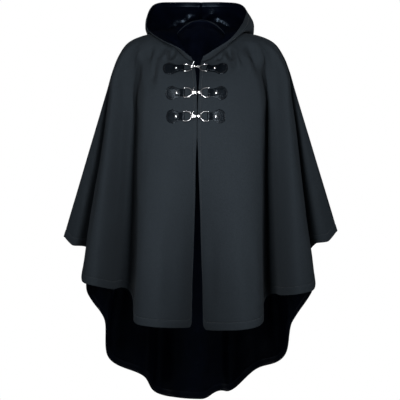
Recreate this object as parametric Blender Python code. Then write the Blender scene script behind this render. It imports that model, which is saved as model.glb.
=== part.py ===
"""A hooded cape on an unseen wearer, who faces -Y: two fronts, a longer back with a lining, a hood that
lies back over the shoulders with its own lining, and three leather and metal clasps across the front slit.

Sizes are in metres and +Z is up. The origin is the middle of the neckline, level with its sides.
"Right" and "left" are the wearer's, so the right front is at -X.
"""

import math

import bmesh
import bpy
import numpy as np
from mathutils import Matrix, Vector
from mathutils.bvhtree import BVHTree

# Cloth
CLOTH = 0.0020
LINING = 0.0010
SEAM_GAP = 0.0003
LINING_GAP = 0.0004
LINING_SHORT = 0.004
CORNER_RADIUS = 0.018

# The yoke: rings from the neckline over the shoulders, each an oval whose height changes round it.
# The edges are how far the two front edges stand off the middle of the wearer, and folds is how much of each
# fold's depth has begun by that ring.
RINGS = (
    # half_width, front, back, side_z, front_z, back_z, right_edge, left_edge, folds
    (0.067, 0.064, 0.058, -0.010, -0.086, 0.030, 0.0185, 0.0005, 0.0),
    (0.112, 0.086, 0.080, -0.006, -0.104, 0.012, 0.0165, -0.0020, 0.0),
    (0.159, 0.112, 0.104, -0.014, -0.130, -0.026, 0.0135, -0.0038, 0.08),
    (0.198, 0.132, 0.122, -0.034, -0.166, -0.076, 0.0120, -0.0060, 0.35),
    (0.221, 0.142, 0.133, -0.067, -0.212, -0.130, 0.0112, -0.0080, 0.75),
    (0.237, 0.150, 0.141, -0.106, -0.268, -0.190, 0.0113, -0.0092, 1.0),
)
# The front edge's set-back has faded out by this angle, and a fold pulls its ring in by this share of its depth
EDGE_ENDS_DEG = 50
PULLED_IN = 0.6
# Where each ring, and then each height of the hanging cloth, lies along a line from neckline to hem
RING_AT = (0.0, 0.05, 0.105, 0.16, 0.21, 0.265)
HANG_AT = (0.35, 0.50, 0.70, 0.86, 1.0)

# The hem from the front edge to the centre back: a row for the crest of each flute and valley.
# yoke_deg is where its line starts on the yoke and sink is how far it has sunk into the yoke's last ring.
# out is away from the middle, heading is the way the hem runs there (0 outwards, 90 backwards) and reach is
# how far it keeps that heading.
HEM_RIGHT = (
    # name, yoke_deg, sink, out, y, z, heading, reach
    ("front edge", 0, 0.000, 0.0245, -0.116, -0.786, -72, 0.034),
    ("flute 1", 20, -0.003, 0.124, -0.236, -0.780, 0, 0.032),
    ("flute 1 fold", 38, -0.001, 0.176, -0.190, -0.762, 86, 0.026),
    ("valley 1", 60, 0.060, 0.196, 0.022, -0.690, 11, 0.019),
    ("flute 2 wall", 68, 0.033, 0.236, -0.042, -0.688, -66, 0.022),
    ("flute 2", 75, -0.003, 0.289, -0.131, -0.674, 4, 0.023),
    ("flute 2 fold", 81, 0.000, 0.315, -0.092, -0.654, 86, 0.012),
    ("valley 2", 86, 0.012, 0.300, 0.010, -0.582, 40, 0.012),
    ("wing hem", 90, 0.002, 0.345, 0.010, -0.571, 24, 0.010),
    ("wing", 94, 0.000, 0.368, 0.036, -0.549, 92, 0.010),
    ("valley 3", 105, 0.006, 0.302, 0.092, -0.588, 122, 0.022),
    ("back flute 1", 118, -0.002, 0.307, 0.168, -0.710, 132, 0.026),
    ("valley 4", 128, 0.012, 0.262, 0.140, -0.776, 128, 0.018),
    ("back flute 2", 139, -0.002, 0.250, 0.218, -0.888, 142, 0.030),
    ("valley 5", 150, 0.010, 0.160, 0.190, -0.930, 170, 0.022),
    ("back flute 3", 161, -0.002, 0.122, 0.258, -0.982, 160, 0.026),
    ("valley 6", 171, 0.008, 0.066, 0.228, -0.993, 180, 0.018),
    ("centre back", 180, -0.002, 0.000, 0.254, -0.999, 180, 0.022),
)
HEM_LEFT = (
    # name, yoke_deg, sink, out, y, z, heading, reach
    ("front edge", 0, 0.000, 0.0065, -0.130, -0.792, -62, 0.032),
    ("flute 1", 22, -0.003, 0.118, -0.236, -0.786, 0, 0.036),
    ("flute 1 fold", 41, -0.002, 0.163, -0.184, -0.760, 90, 0.022),
    ("valley 1", 59, 0.062, 0.182, 0.022, -0.705, 7, 0.019),
    ("flute 2 wall", 66, 0.035, 0.214, -0.046, -0.704, -68, 0.022),
    ("flute 2", 73, -0.003, 0.266, -0.131, -0.696, 4, 0.026),
    ("flute 2 fold", 80, 0.000, 0.302, -0.100, -0.672, 82, 0.014),
    ("valley 2", 86, 0.013, 0.284, 0.010, -0.579, 40, 0.012),
    ("wing hem", 90, 0.002, 0.342, 0.010, -0.560, 24, 0.010),
    ("wing", 94, 0.000, 0.366, 0.036, -0.534, 92, 0.010),
    ("valley 3", 105, 0.006, 0.294, 0.092, -0.588, 122, 0.022),
    ("back flute 1", 118, -0.002, 0.300, 0.168, -0.706, 138, 0.026),
    ("valley 4", 128, 0.012, 0.246, 0.140, -0.788, 120, 0.018),
    ("back flute 2", 139, -0.002, 0.222, 0.218, -0.886, 144, 0.030),
    ("valley 5", 150, 0.010, 0.152, 0.190, -0.912, 172, 0.024),
    ("back flute 3", 161, -0.002, 0.086, 0.254, -0.973, 166, 0.022),
    ("valley 6", 171, 0.008, 0.048, 0.228, -0.975, 180, 0.018),
    ("centre back", 180, -0.002, 0.000, 0.254, -0.999, 180, 0.022),
)
HEM = {-1: HEM_RIGHT, 1: HEM_LEFT}
ROW_NAMES = [row[0] for row in HEM_RIGHT]
CENTRE_BACK = len(ROW_NAMES) - 1
SIDE_SEAM = ROW_NAMES.index("wing") - 0.12

# The hood, from the throat to the centre back: where a rib leaves the neckline, how far down the yoke it
# lies before it turns up, its rim, and how far it bulges between the two.
HOOD_RIGHT = (
    # yoke_deg, lies_to, rim_out, rim_y, rim_z, bulge
    (0, 0.006, 0.027, -0.078, -0.074, 0.000),
    (34, 0.024, 0.060, -0.088, -0.0505, 0.002),
    (62, 0.048, 0.104, -0.066, -0.029, 0.001),
    (88, 0.072, 0.142, -0.016, 0.001, 0.000),
    (108, 0.090, 0.147, 0.036, 0.030, 0.003),
    (126, 0.122, 0.138, 0.082, 0.064, 0.012),
    (144, 0.158, 0.117, 0.120, 0.0825, 0.024),
    (162, 0.188, 0.066, 0.148, 0.0865, 0.034),
    (180, 0.200, 0.000, 0.158, 0.0870, 0.038),
)
HOOD_LEFT = (
    # yoke_deg, lies_to, rim_out, rim_y, rim_z, bulge
    (0, 0.006, 0.006, -0.078, -0.072, 0.000),
    (34, 0.024, 0.038, -0.086, -0.053, 0.005),
    (62, 0.042, 0.077, -0.067, -0.025, 0.010),
    (88, 0.062, 0.107, -0.016, 0.013, 0.014),
    (108, 0.086, 0.119, 0.038, 0.039, 0.013),
    (126, 0.120, 0.122, 0.084, 0.062, 0.014),
    (144, 0.156, 0.104, 0.120, 0.0805, 0.024),
    (162, 0.188, 0.062, 0.148, 0.0865, 0.034),
    (180, 0.200, 0.000, 0.158, 0.0870, 0.038),
)
HOOD = {-1: HOOD_RIGHT, 1: HOOD_LEFT}
HOOD_LIFT = 0.0045
FULL_LIFT_AT = 0.03
HOOD_SOFTNESS = 0.009
RIB_STEPS = 90
HEM_STEPS = 400
SEAM_STEP = 0.01
BELLY_AT = 0.55
NEAR_CAPE = 0.030
HOOD_ALONG = (0.0, 0.22, 0.46, 0.74, 1.0)

# Clasps: where the middle of each hook is, and how long its tabs are up to the bars of their rings
CLASPS = (
    # x, z, tab_length
    (-0.0147, -0.1055, 0.0535),
    (-0.0120, -0.1703, 0.0485),
    (-0.0133, -0.2323, 0.0450),
)
LEATHER = 0.0020
ON_CLOTH = 0.0006
PLAY = 0.0003
WIRE = 0.00135
RING_SIDES = 6
HOOK_SIDES = 8
RING_HALF_HEIGHT = 0.0130
RING_LENGTH = 0.0222
RING_CORNER = 0.0028
BOW_FROM = 0.0070
RING_TILT = 0.0016
APEX_APART = 0.0220
LOOP = WIRE + PLAY + LEATHER / 2
BAR_HEIGHT = ON_CLOTH + LEATHER / 2 + LOOP
FLAP_HEIGHT = ON_CLOTH + LEATHER * 1.5 + PLAY
FLAT_FROM = 0.007
TAB_MIDDLE = 0.030
FAR = 0.5
NEARBY = 0.0025
# A tab's outline, from its broad end to the ring, and then its flap back over itself
TAB_WIDTHS = (
    # share of the length, half_width
    (0.00, 0.0040),
    (0.03, 0.0090),
    (0.10, 0.0146),
    (0.22, 0.0186),
    (0.36, 0.0190),
    (0.52, 0.0158),
    (0.70, 0.0120),
    (0.88, 0.0100),
)
FLAP = (
    # back from the bar, height above where the flap lies, half_width
    (0.0045, 0.0018, 0.0096),
    (0.0090, 0.0002, 0.0094),
    (0.0150, 0.0000, 0.0090),
    (0.0235, 0.0000, 0.0066),
)
LOOP_HALF_WIDTH = 0.0096
TAB_ACROSS = (-1, -0.55, 0, 0.55, 1)
RIVET_BACK = 0.0190
RIVET_RADIUS = 0.0042
RIVET_HEIGHT = 0.0024
RIVET_GAP = 0.0007
RIVET_SIDES = 12
# The side of a rivet's dome, as shares of its radius and height
RIVET_DOME = ((1.0, 0.0), (1.0, 0.3), (0.86, 0.66), (0.52, 0.93))
# The hook wraps each ring's bow by this much, and is widest on the two halves of its body
HOOK_WRAP_DEG = 210
WRAP_STEP_DEG = 30
QUARTER_DEG = 90
HOOK_PLAY = 0.0005
HOOK_THICK = 0.0020
HOOK_BODY = (
    # share of the way across, half_width
    (0.14, 0.0060),
    (0.34, 0.0066),
    (0.50, 0.0040),
    (0.66, 0.0056),
    (0.86, 0.0052),
)
HOOK_TIP_HALF_WIDTH = 0.0022

COLOURS = {
    "cloth": ((0.030, 0.034, 0.038), 0.9, 0.0),
    "satin": ((0.004, 0.004, 0.006), 0.35, 0.0),
    "leather": ((0.008, 0.008, 0.010), 0.3, 0.0),
    "metal": ((0.75, 0.75, 0.76), 0.2, 1.0),
}


def through(knots, values, at, level=False):
    """A smooth curve through the values at the knots, read at these places. A level one never overshoots."""
    knots, values, at = np.asarray(knots, float), np.asarray(values, float), np.asarray(at, float)
    step = np.diff(knots)
    flat = values.reshape(len(knots), -1)
    slope = np.diff(flat, axis=0) / step[:, None]
    middle = (slope[:-1] * step[1:, None] + slope[1:] * step[:-1, None]) / (step[:-1] + step[1:])[:, None]
    if level:
        before, after = slope[:-1], slope[1:]
        same = before * after > 0
        middle = np.where(same, 2 * before * after / np.where(same, before + after, 1), 0)
    tangent = np.concatenate([slope[:1], middle, slope[-1:]])
    i = np.clip(np.searchsorted(knots, at, side="right") - 1, 0, len(step) - 1)
    f = ((at - knots[i]) / step[i])[:, None]
    h = step[i][:, None]
    first = (1 + 2 * f) * (1 - f) ** 2 * flat[i] + f * (1 - f) ** 2 * h * tangent[i]
    second = f * f * (3 - 2 * f) * flat[i + 1] - f * f * (1 - f) * h * tangent[i + 1]
    return (first + second).reshape((len(at),) + values.shape[1:])


def smooth_step(x):
    x = np.clip(x, 0, 1)
    return x * x * (3 - 2 * x)


def unit(v):
    return v / np.maximum(np.linalg.norm(v, axis=-1, keepdims=True), 1e-12)


def hem_line(side, along):
    """Points of the hem at places counted in rows, and for each the yoke's angle and its sink."""
    rows = HEM[side]
    data = np.array([row[1:] for row in rows], float)
    yoke, xyz = data[:, :2], data[:, 2:5] * (side, 1, 1)
    heading, reach = np.radians(data[:, 5]), 3 * data[:, 6]
    fall = np.gradient(data[:, 4])
    fall[[0, -1]] = 0
    tangent = np.stack([side * reach * np.cos(heading), reach * np.sin(heading), fall], axis=1)
    i = np.clip(np.floor(along).astype(int), 0, CENTRE_BACK - 1)
    f = (along - i)[:, None]
    points = (1 + 2 * f) * (1 - f) ** 2 * xyz[i] + f * (1 - f) ** 2 * tangent[i]
    points += f * f * (3 - 2 * f) * xyz[i + 1] - f * f * (1 - f) * tangent[i + 1]
    from_edge = np.linalg.norm((points - xyz[0])[:, :2], axis=1)
    short = np.clip(1 - from_edge / CORNER_RADIUS, 0, 1)
    points[:, 2] += CORNER_RADIUS * (1 - np.sqrt(1 - short**2))
    return points, through(np.arange(len(rows)), yoke, along, level=True).T


def yoke_ring(side, ring, degrees, sink):
    """Points of one ring of the yoke."""
    half_width, front, back, side_z, front_z, back_z, right_edge, left_edge, folds = RINGS[ring]
    edge = right_edge if side < 0 else left_edge
    turn = np.radians(degrees)
    cosine = np.cos(turn)
    out = half_width * np.sin(turn) + edge * (1 - smooth_step(degrees / EDGE_ENDS_DEG))
    depth = front * (1 + cosine) / 2 + back * (1 - cosine) / 2
    end_z = np.where(cosine > 0, front_z, back_z)
    sunk = folds * sink
    out, y = out - sunk * np.sin(turn) * PULLED_IN, (sunk * (2 - abs(cosine)) - depth) * cosine
    return np.stack([side * out, y, side_z + (end_z - side_z) * cosine**2], axis=1)


def cape(side, along, down):
    """The outer face of the cape: along runs from front edge to centre back, and down from neck to hem."""
    along, down = np.broadcast_arrays(np.asarray(along, float), np.asarray(down, float))
    shape = along.shape
    columns, which = np.unique(along.ravel(), return_inverse=True)
    hem, (degrees, sink) = hem_line(side, columns)
    rings = [yoke_ring(side, k, degrees, sink) for k in range(len(RINGS))]
    last, start = rings[-1], RING_AT[-1]
    hang = [last + (hem - last) * (at - start) / (1 - start) for at in HANG_AT]
    lines = np.stack(rings + hang)
    knots = RING_AT + HANG_AT
    rows, at_row = np.unique(down.ravel(), return_inverse=True)
    net = through(knots, lines, rows)
    return net[at_row, which].reshape(shape + (3,))


def facing(surface, side, first, second, step=1e-3):
    """The unit normals of a surface of two parameters, on its outer side."""
    a = surface(side, first + step, second) - surface(side, first - step, second)
    b = surface(side, first, second + step) - surface(side, first, second - step)
    return unit(np.cross(a, b)) * -side


def within(values, low, high, margin=2e-3):
    return np.clip(values, low + margin, high - margin)


def cape_normals(side, along, down):
    return facing(cape, side, within(along, 0, CENTRE_BACK), within(down, 0, 1))


def evenly(line, places):
    """Points at these shares of a line's length."""
    length = np.concatenate([[0], np.cumsum(np.linalg.norm(np.diff(line, axis=0), axis=1))])
    return np.stack([np.interp(places, length / length[-1], axis) for axis in line.T], axis=1)


def softened(line, places):
    """Points at these shares of a line whose bends are rounded, with its ends kept."""
    even = evenly(line, np.linspace(0, 1, RIB_STEPS))
    length = np.linalg.norm(np.diff(even, axis=0), axis=1).sum()
    before, after = 2 * even[0] - even[:0:-1], 2 * even[-1] - even[-2::-1]
    longer = np.concatenate([before, even, after])
    at = np.linspace(-1, 2, len(longer))
    weight = np.exp(-(((at[RIB_STEPS - 1 : 2 * RIB_STEPS - 1, None] - at) * length / HOOD_SOFTNESS) ** 2) / 2)
    soft = (weight @ longer) / weight.sum(axis=1, keepdims=True)
    return evenly(soft, places)


def hood(side, rib, along):
    """The outer face of the hood: rib runs from the throat to the centre back, along from neckline to rim."""
    rib, along = np.broadcast_arrays(np.asarray(rib, float), np.asarray(along, float))
    shape = rib.shape
    ribs, which = np.unique(rib.ravel(), return_inverse=True)
    rows = through(np.arange(len(HOOD[side])), np.array(HOOD[side], float), ribs)
    columns = np.linspace(0, CENTRE_BACK, HEM_STEPS)
    start = np.interp(rows[:, 0], hem_line(side, columns)[1][0], columns)
    lies_to, rim, bulge = rows[:, 1], rows[:, 2:5] * (side, 1, 1), rows[:, 5:6]
    seam = cape(side, start, 0 * start)
    seam -= unit(cape(side, start, 0 * start + SEAM_STEP) - seam) * SEAM_GAP
    lift = HOOD_LIFT * np.minimum(lies_to / FULL_LIFT_AT, 1)[:, None]
    middle = cape(side, start, lies_to * 0.5) + cape_normals(side, start, lies_to * 0.5) * lift
    turn = cape(side, start, lies_to) + cape_normals(side, start, lies_to) * lift
    outward = unit(rim * (1, 1, 0) + (0, 0, 1e-6))
    belly = turn * (1 - BELLY_AT) + rim * BELLY_AT + outward * bulge
    lines = np.stack([seam, middle, turn, belly, rim])
    fine = through(HOOD_ALONG, lines, np.linspace(0, 1, RIB_STEPS), level=True)
    places, at_place = np.unique(along.ravel(), return_inverse=True)
    net = np.stack([softened(fine[:, k], places) for k in range(len(ribs))], axis=1)
    return net[at_place, which].reshape(shape + (3,))


def hood_normals(side, rib, along):
    last = len(HOOD[side]) - 1
    inward = facing(hood, side, within(rib, 0, last), within(along, 0, 1))
    centre = np.asarray(rib) > last - 1e-6
    inward[..., 0] = np.where(centre, 0, inward[..., 0])
    return unit(inward)


def material(name):
    found = bpy.data.materials.get(name)
    if found:
        return found
    colour, roughness, metallic = COLOURS[name]
    made = bpy.data.materials.new(name)
    made.use_nodes = True
    shader = made.node_tree.nodes["Principled BSDF"]
    shader.inputs["Base Color"].default_value = (*colour, 1)
    shader.inputs["Roughness"].default_value = roughness
    shader.inputs["Metallic"].default_value = metallic
    return made


def wall(name, outer, inner, surface):
    """A closed wall between two nets of points with the same rows and columns."""
    count, across = outer.shape[:2]
    mesh = bmesh.new()
    faces = [[[mesh.verts.new(p) for p in row] for row in net] for net in (outer, inner)]
    quads = []
    for i in range(count - 1):
        for j in range(across - 1):
            for net, order in ((faces[0], 1), (faces[1], -1)):
                ring = [net[i][j], net[i + 1][j], net[i + 1][j + 1], net[i][j + 1]]
                quads.append(ring[:3][::order])
                quads.append([ring[0], ring[2], ring[3]][::order])
    rim = [(i, 0) for i in range(count)] + [(count - 1, j) for j in range(1, across)]
    rim += [(i, across - 1) for i in range(count - 2, -1, -1)] + [(0, j) for j in range(across - 2, 0, -1)]
    for (a, b), (c, d) in zip(rim, rim[1:] + rim[:1]):
        quads.append([faces[0][c][d], faces[0][a][b], faces[1][a][b]])
        quads.append([faces[0][c][d], faces[1][a][b], faces[1][c][d]])
    for quad in quads:
        mesh.faces.new(quad)
    if mesh.calc_volume(signed=True) < 0:
        bmesh.ops.reverse_faces(mesh, faces=mesh.faces[:])
    return finished(name, mesh, surface)


def finished(name, mesh, surface):
    data = bpy.data.meshes.new(name)
    mesh.to_mesh(data)
    mesh.free()
    made = bpy.data.objects.new(name, data)
    parts.objects.link(made)
    data.materials.append(material(surface))
    data.shade_smooth()
    return made


FRONT_COLUMNS = np.concatenate([(0, 0.05, 0.11, 0.19, 0.30), np.linspace(0.45, SIDE_SEAM, 26)])
BACK_COLUMNS = np.linspace(SIDE_SEAM, CENTRE_BACK, 24)
ROWS = np.array((0, 0.03, 0.06, 0.09, 0.12, 0.15, 0.18, 0.21, 0.24, 0.28, 0.34, 0.45, 0.61, 0.80, 1.0))


def seam_shift(points, towards):
    """Moves a column at a seam back from it by half the gap."""
    return points + unit(towards - points) * SEAM_GAP / 2


def front_net(side):
    grid, down = np.meshgrid(FRONT_COLUMNS, ROWS, indexing="ij")
    points, normals = cape(side, grid, down), cape_normals(side, grid, down)
    points[-1] = seam_shift(points[-1], points[-2])
    return points, normals


def back_net():
    """The back panel, from the right side seam round to the left one."""
    nets = []
    for side in (-1, 1):
        grid, down = np.meshgrid(BACK_COLUMNS, ROWS, indexing="ij")
        points, normals = cape(side, grid, down), cape_normals(side, grid, down)
        points[0] = seam_shift(points[0], points[1])
        nets.append((points, normals))
    (right, right_n), (left, left_n) = nets
    right_n[-1] = unit(right_n[-1] + left_n[-1])
    points = np.concatenate([right, left[-2::-1]])
    return points, np.concatenate([right_n, left_n[-2::-1]])


def build_cape():
    for side, name in ((-1, "front_right"), (1, "front_left")):
        points, normals = front_net(side)
        wall(name, points, points - normals * CLOTH, "cloth")
    points, normals = back_net()
    wall("back", points, points - normals * CLOTH, "cloth")
    hem = points[:, -1] - points[:, -2]
    points[:, -1] -= unit(hem) * LINING_SHORT
    skin = points - normals * (CLOTH + LINING_GAP)
    wall("back_lining", skin, skin - normals * LINING, "satin")


HOOD_RIBS = np.concatenate([(0, 0.22), np.linspace(0.5, len(HOOD_RIGHT) - 1, 17)])
HOOD_ROWS = np.array((0, 0.05, 0.14, 0.24, 0.34, 0.43, 0.51, 0.59, 0.68, 0.78, 0.89, 1.0))


def cape_tree():
    """The outer faces of the cape, to keep the hood clear of them."""
    points, faces = [], []
    for net, flip in ((front_net(-1)[0], False), (front_net(1)[0], True), (back_net()[0], False)):
        first, (count, across) = len(points), net.shape[:2]
        points += [Vector(p) for p in net.reshape(-1, 3)]
        for i in range(count - 1):
            for j in range(across - 1):
                here = first + i * across + j
                after = here + across
                for face in ((here, after, after + 1), (here, after + 1, here + 1)):
                    faces.append(face[::-1] if flip else face)
    return BVHTree.FromPolygons(points, faces)


def keep_clear(net, rows, tree):
    """Lifts the points of the hood that are too near the cape, less so towards the seam."""
    for i in range(net.shape[0]):
        for j, row in enumerate(rows):
            need = SEAM_GAP + (HOOD_LIFT - SEAM_GAP) * min(row / rows[1], 1)
            point = Vector(net[i, j])
            nearest, normal, _, far = tree.find_nearest(point)
            height = (point - nearest).dot(normal)
            if far < NEAR_CAPE and height < need:
                net[i, j] = point + normal * (need - height)
    return net


def build_hood():
    tree = cape_tree()
    for side, name in ((-1, "hood_right"), (1, "hood_left")):
        grid, along = np.meshgrid(HOOD_RIBS, HOOD_ROWS, indexing="ij")
        points, inward = hood(side, grid, along), hood_normals(side, grid, along)
        points = keep_clear(points, HOOD_ROWS, tree)
        points[-1, :, 0] = side * SEAM_GAP / 2
        wall(name, points, points + inward * CLOTH, "cloth")
        skin = (points + inward * (CLOTH + LINING_GAP))[1:]
        wall(name + "_lining", skin, skin + inward[1:] * LINING, "satin")


class Surface:
    """The cloth under a clasp's tab: points are placed along it, across it and above it."""

    def __init__(self, cloth, x, z, towards):
        self.tree = BVHTree.FromPolygons([v.co for v in cloth.vertices], [f.vertices for f in cloth.polygons])
        back = Vector((0, 1, 0))
        bar = self.drop(Vector((x, 0, z)), back)
        out = self.drop(Vector((x - towards * TAB_MIDDLE, 0, z)), back)
        above = self.drop(Vector((x, 0, z + LOOP_HALF_WIDTH)), back)
        below = self.drop(Vector((x, 0, z - LOOP_HALF_WIDTH)), back)
        self.along = (bar - out).normalized()
        self.up = (above - below).normalized()
        self.normal = self.along.cross(self.up) * towards
        self.normal.normalize()
        self.up = self.normal.cross(self.along) * towards
        self.bar = bar
        self.level = max(self.height(0, share * LOOP_HALF_WIDTH) for share in (-1, -0.5, 0, 0.5, 1))

    def drop(self, point, direction):
        start = point - direction * FAR
        found = self.tree.ray_cast(start, direction)[0]
        return found if found else self.tree.find_nearest(point)[0]

    def height(self, along, across):
        """How far the cloth stands above the clasp's plane, at its highest near this point."""
        found = []
        for a, b in ((0, 0), (NEARBY, 0), (-NEARBY, 0), (0, NEARBY), (0, -NEARBY)):
            point = self.bar + self.along * (along + a) + self.up * (across + b)
            found.append((self.drop(point, -self.normal) - point).dot(self.normal))
        return max(found)

    def place(self, along, across, above):
        flat = min(max(1 + along / FLAT_FROM, 0), 1)
        rise = self.height(along, across) if flat < 1 else 0
        level = rise + (self.level - rise) * flat
        return self.bar + self.along * along + self.up * across + self.normal * (level + above)


def tab_path(length):
    """Where the middle of the leather runs: along, above and half its width, a row for each section."""
    rows = [(-length * (1 - share), ON_CLOTH + LEATHER / 2, half) for share, half in TAB_WIDTHS]
    for degrees in range(-90, 91, 30):
        turn = math.radians(degrees)
        rows.append((LOOP * math.cos(turn), BAR_HEIGHT + LOOP * math.sin(turn), LOOP_HALF_WIDTH))
    return np.array(rows + [(-back, FLAP_HEIGHT + over, half) for back, over, half in FLAP])


def build_tab(name, surface, length):
    path = tab_path(length)
    run = unit(np.gradient(path[:, :2], axis=0))
    side = np.stack([-run[:, 1], run[:, 0]], axis=1) * LEATHER / 2
    nets = []
    for offset in (-side, side):
        line = path[:, :2] + offset
        nets.append([[surface.place(a, half * share, h) for share in TAB_ACROSS]
                     for (a, h), half in zip(line, path[:, 2])])
    outer, inner = (np.array([[tuple(p) for p in row] for row in net]) for net in nets)
    wall(name, outer, inner, "leather")


def tube(name, points, frames, halves, surface, closed):
    """A tube with an oval section along a path: its points, their two cross directions and half sizes."""
    mesh = bmesh.new()
    sides = RING_SIDES if closed else HOOK_SIDES
    loops = []
    for point, (first, second), (wide, thick) in zip(points, frames, halves):
        loop = []
        for k in range(sides):
            turn = 2 * math.pi * k / sides
            around = first * wide * math.cos(turn) + second * thick * math.sin(turn)
            loop.append(mesh.verts.new(point + around))
        loops.append(loop)
    pairs = list(zip(loops, loops[1:] + loops[:1])) if closed else list(zip(loops, loops[1:]))
    for here, after in pairs:
        for k in range(sides):
            j = (k + 1) % sides
            mesh.faces.new((here[k], here[j], after[j], after[k]))
    if not closed:
        mesh.faces.new(loops[0][::-1])
        mesh.faces.new(loops[-1])
    if mesh.calc_volume(signed=True) < 0:
        bmesh.ops.reverse_faces(mesh, faces=mesh.faces[:])
    return finished(name, mesh, surface)


def ring_outline():
    """A D: its straight bar, two rounded corners and a bow, as distances along and across from the bar."""
    high, corner = RING_HALF_HEIGHT, RING_CORNER
    outline = [(0, high / 3), (0, high - corner), (corner * 0.3, high - corner * 0.3), (corner, high)]
    for degrees in range(90, -91, -20):
        turn = math.radians(degrees)
        outline.append((BOW_FROM + (RING_LENGTH - BOW_FROM) * math.cos(turn), high * math.sin(turn)))
    return outline + [(a, -b) for a, b in outline[3::-1]]


def build_ring(name, surface, apex):
    bar = surface.place(0, 0, BAR_HEIGHT)
    along = (apex - bar).normalized()
    normal = along.cross(surface.up)
    outline = [bar + along * a + surface.up * b for a, b in ring_outline()]
    frames = []
    for before, after in zip(outline[-1:] + outline[:-1], outline[1:] + outline[:1]):
        run = (after - before).normalized()
        frames.append((run.cross(normal).normalized(), normal))
    tube(name, outline, frames, [(WIRE, WIRE)] * len(outline), "metal", closed=True)
    return bar + along * RING_LENGTH


def build_rivet(name, surface):
    base = surface.place(-RIVET_BACK, 0, FLAP_HEIGHT + LEATHER / 2 + RIVET_GAP)
    mesh = bmesh.new()
    frame = Matrix((surface.along, surface.up, surface.normal)).transposed()
    loops = []
    for wide, high in RIVET_DOME:
        loop = []
        for k in range(RIVET_SIDES):
            turn = 2 * math.pi * k / RIVET_SIDES
            reach = wide * RIVET_RADIUS
            flat = Vector((math.cos(turn) * reach, math.sin(turn) * reach, high * RIVET_HEIGHT))
            loop.append(mesh.verts.new(base + frame @ flat))
        loops.append(loop)
    top = mesh.verts.new(base + surface.normal * RIVET_HEIGHT)
    for here, after in zip(loops, loops[1:]):
        for k in range(RIVET_SIDES):
            j = (k + 1) % RIVET_SIDES
            mesh.faces.new((here[k], here[j], after[j], after[k]))
    for k in range(RIVET_SIDES):
        mesh.faces.new((loops[-1][k], loops[-1][(k + 1) % RIVET_SIDES], top))
    mesh.faces.new(loops[0][::-1])
    if mesh.calc_volume(signed=True) < 0:
        bmesh.ops.reverse_faces(mesh, faces=mesh.faces[:])
    finished(name, mesh, "metal")


def build_hook(name, right, left, up):
    """A hook that runs in front of the slit and wraps the bow of a ring at each end."""
    along = (left - right).normalized()
    normal = along.cross(up).normalized()
    wrap = WIRE + HOOK_PLAY + HOOK_THICK / 2
    points, runs, halves = [], [], []

    def go_round(bow, start, end):
        for degrees in range(start, end - WRAP_STEP_DEG, -WRAP_STEP_DEG):
            turn = math.radians(degrees)
            points.append(bow + (along * math.cos(turn) + normal * math.sin(turn)) * wrap)
            runs.append(along * math.sin(turn) - normal * math.cos(turn))
            halves.append((HOOK_TIP_HALF_WIDTH, HOOK_THICK / 2))

    go_round(right, QUARTER_DEG + HOOK_WRAP_DEG, QUARTER_DEG)
    for share, half_width in HOOK_BODY:
        points.append(right.lerp(left, share) + normal * wrap)
        runs.append(along)
        halves.append((half_width, HOOK_THICK / 2))
    go_round(left, QUARTER_DEG, QUARTER_DEG - HOOK_WRAP_DEG)
    frames = [(up, run.cross(up).normalized()) for run in runs]
    tube(name, points, frames, halves, "metal", closed=False)


def build_clasps():
    fronts = {-1: bpy.data.objects["front_right"].data, 1: bpy.data.objects["front_left"].data}
    for number, (x, z, length) in enumerate(CLASPS, 1):
        apexes, ups = {}, []
        for side, word in ((-1, "right"), (1, "left")):
            bar_x = x + side * (APEX_APART / 2 + RING_LENGTH)
            surface = Surface(fronts[side], bar_x, z, -side)
            build_tab(f"tab_{word}_{number}", surface, length)
            build_rivet(f"rivet_{word}_{number}", surface)
            bar = surface.place(0, 0, BAR_HEIGHT)
            aim = bar + surface.along * RING_LENGTH + surface.normal * RING_TILT
            apexes[side] = build_ring(f"ring_{word}_{number}", surface, aim)
            ups.append(surface.up)
        build_hook(f"hook_{number}", apexes[-1], apexes[1], (ups[0] + ups[1]).normalized())


def clear_scene():
    for thing in list(bpy.data.objects):
        bpy.data.objects.remove(thing)


clear_scene()
parts = bpy.data.collections.new("hooded_cape")
bpy.context.scene.collection.children.link(parts)
build_cape()
build_hood()
build_clasps()
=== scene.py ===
"""The looks of the hooded cape: fine cloth shells with their creases, seams and stitches, satin linings,
glossy leather tabs and bright metal clasps, on the fixed frame of solids.

Sizes are in metres, +Z is up and the wearer faces -Y. "Right" and "left" are the wearer's.
"""

import math

import bpy
import numpy as np
from mathutils import Matrix, Vector, noise
from mathutils.bvhtree import BVHTree


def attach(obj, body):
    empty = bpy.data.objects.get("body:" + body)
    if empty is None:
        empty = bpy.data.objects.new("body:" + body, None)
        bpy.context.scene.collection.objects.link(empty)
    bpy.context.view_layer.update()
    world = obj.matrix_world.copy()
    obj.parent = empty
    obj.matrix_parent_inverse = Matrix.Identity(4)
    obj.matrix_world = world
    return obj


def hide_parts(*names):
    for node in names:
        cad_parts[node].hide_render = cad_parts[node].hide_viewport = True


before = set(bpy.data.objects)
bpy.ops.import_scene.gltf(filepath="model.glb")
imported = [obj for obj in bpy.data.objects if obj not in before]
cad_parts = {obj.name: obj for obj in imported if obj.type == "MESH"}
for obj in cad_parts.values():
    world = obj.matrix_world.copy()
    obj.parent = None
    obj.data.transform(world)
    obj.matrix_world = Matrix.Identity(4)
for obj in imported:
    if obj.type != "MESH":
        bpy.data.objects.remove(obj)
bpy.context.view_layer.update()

# The cape's own tables, in the same numbers as the solids

CLOTH = 0.0020
LINING = 0.0010
LINING_GAP = 0.0004
SEAM_GAP = 0.0003
CORNER_RADIUS = 0.018

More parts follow.
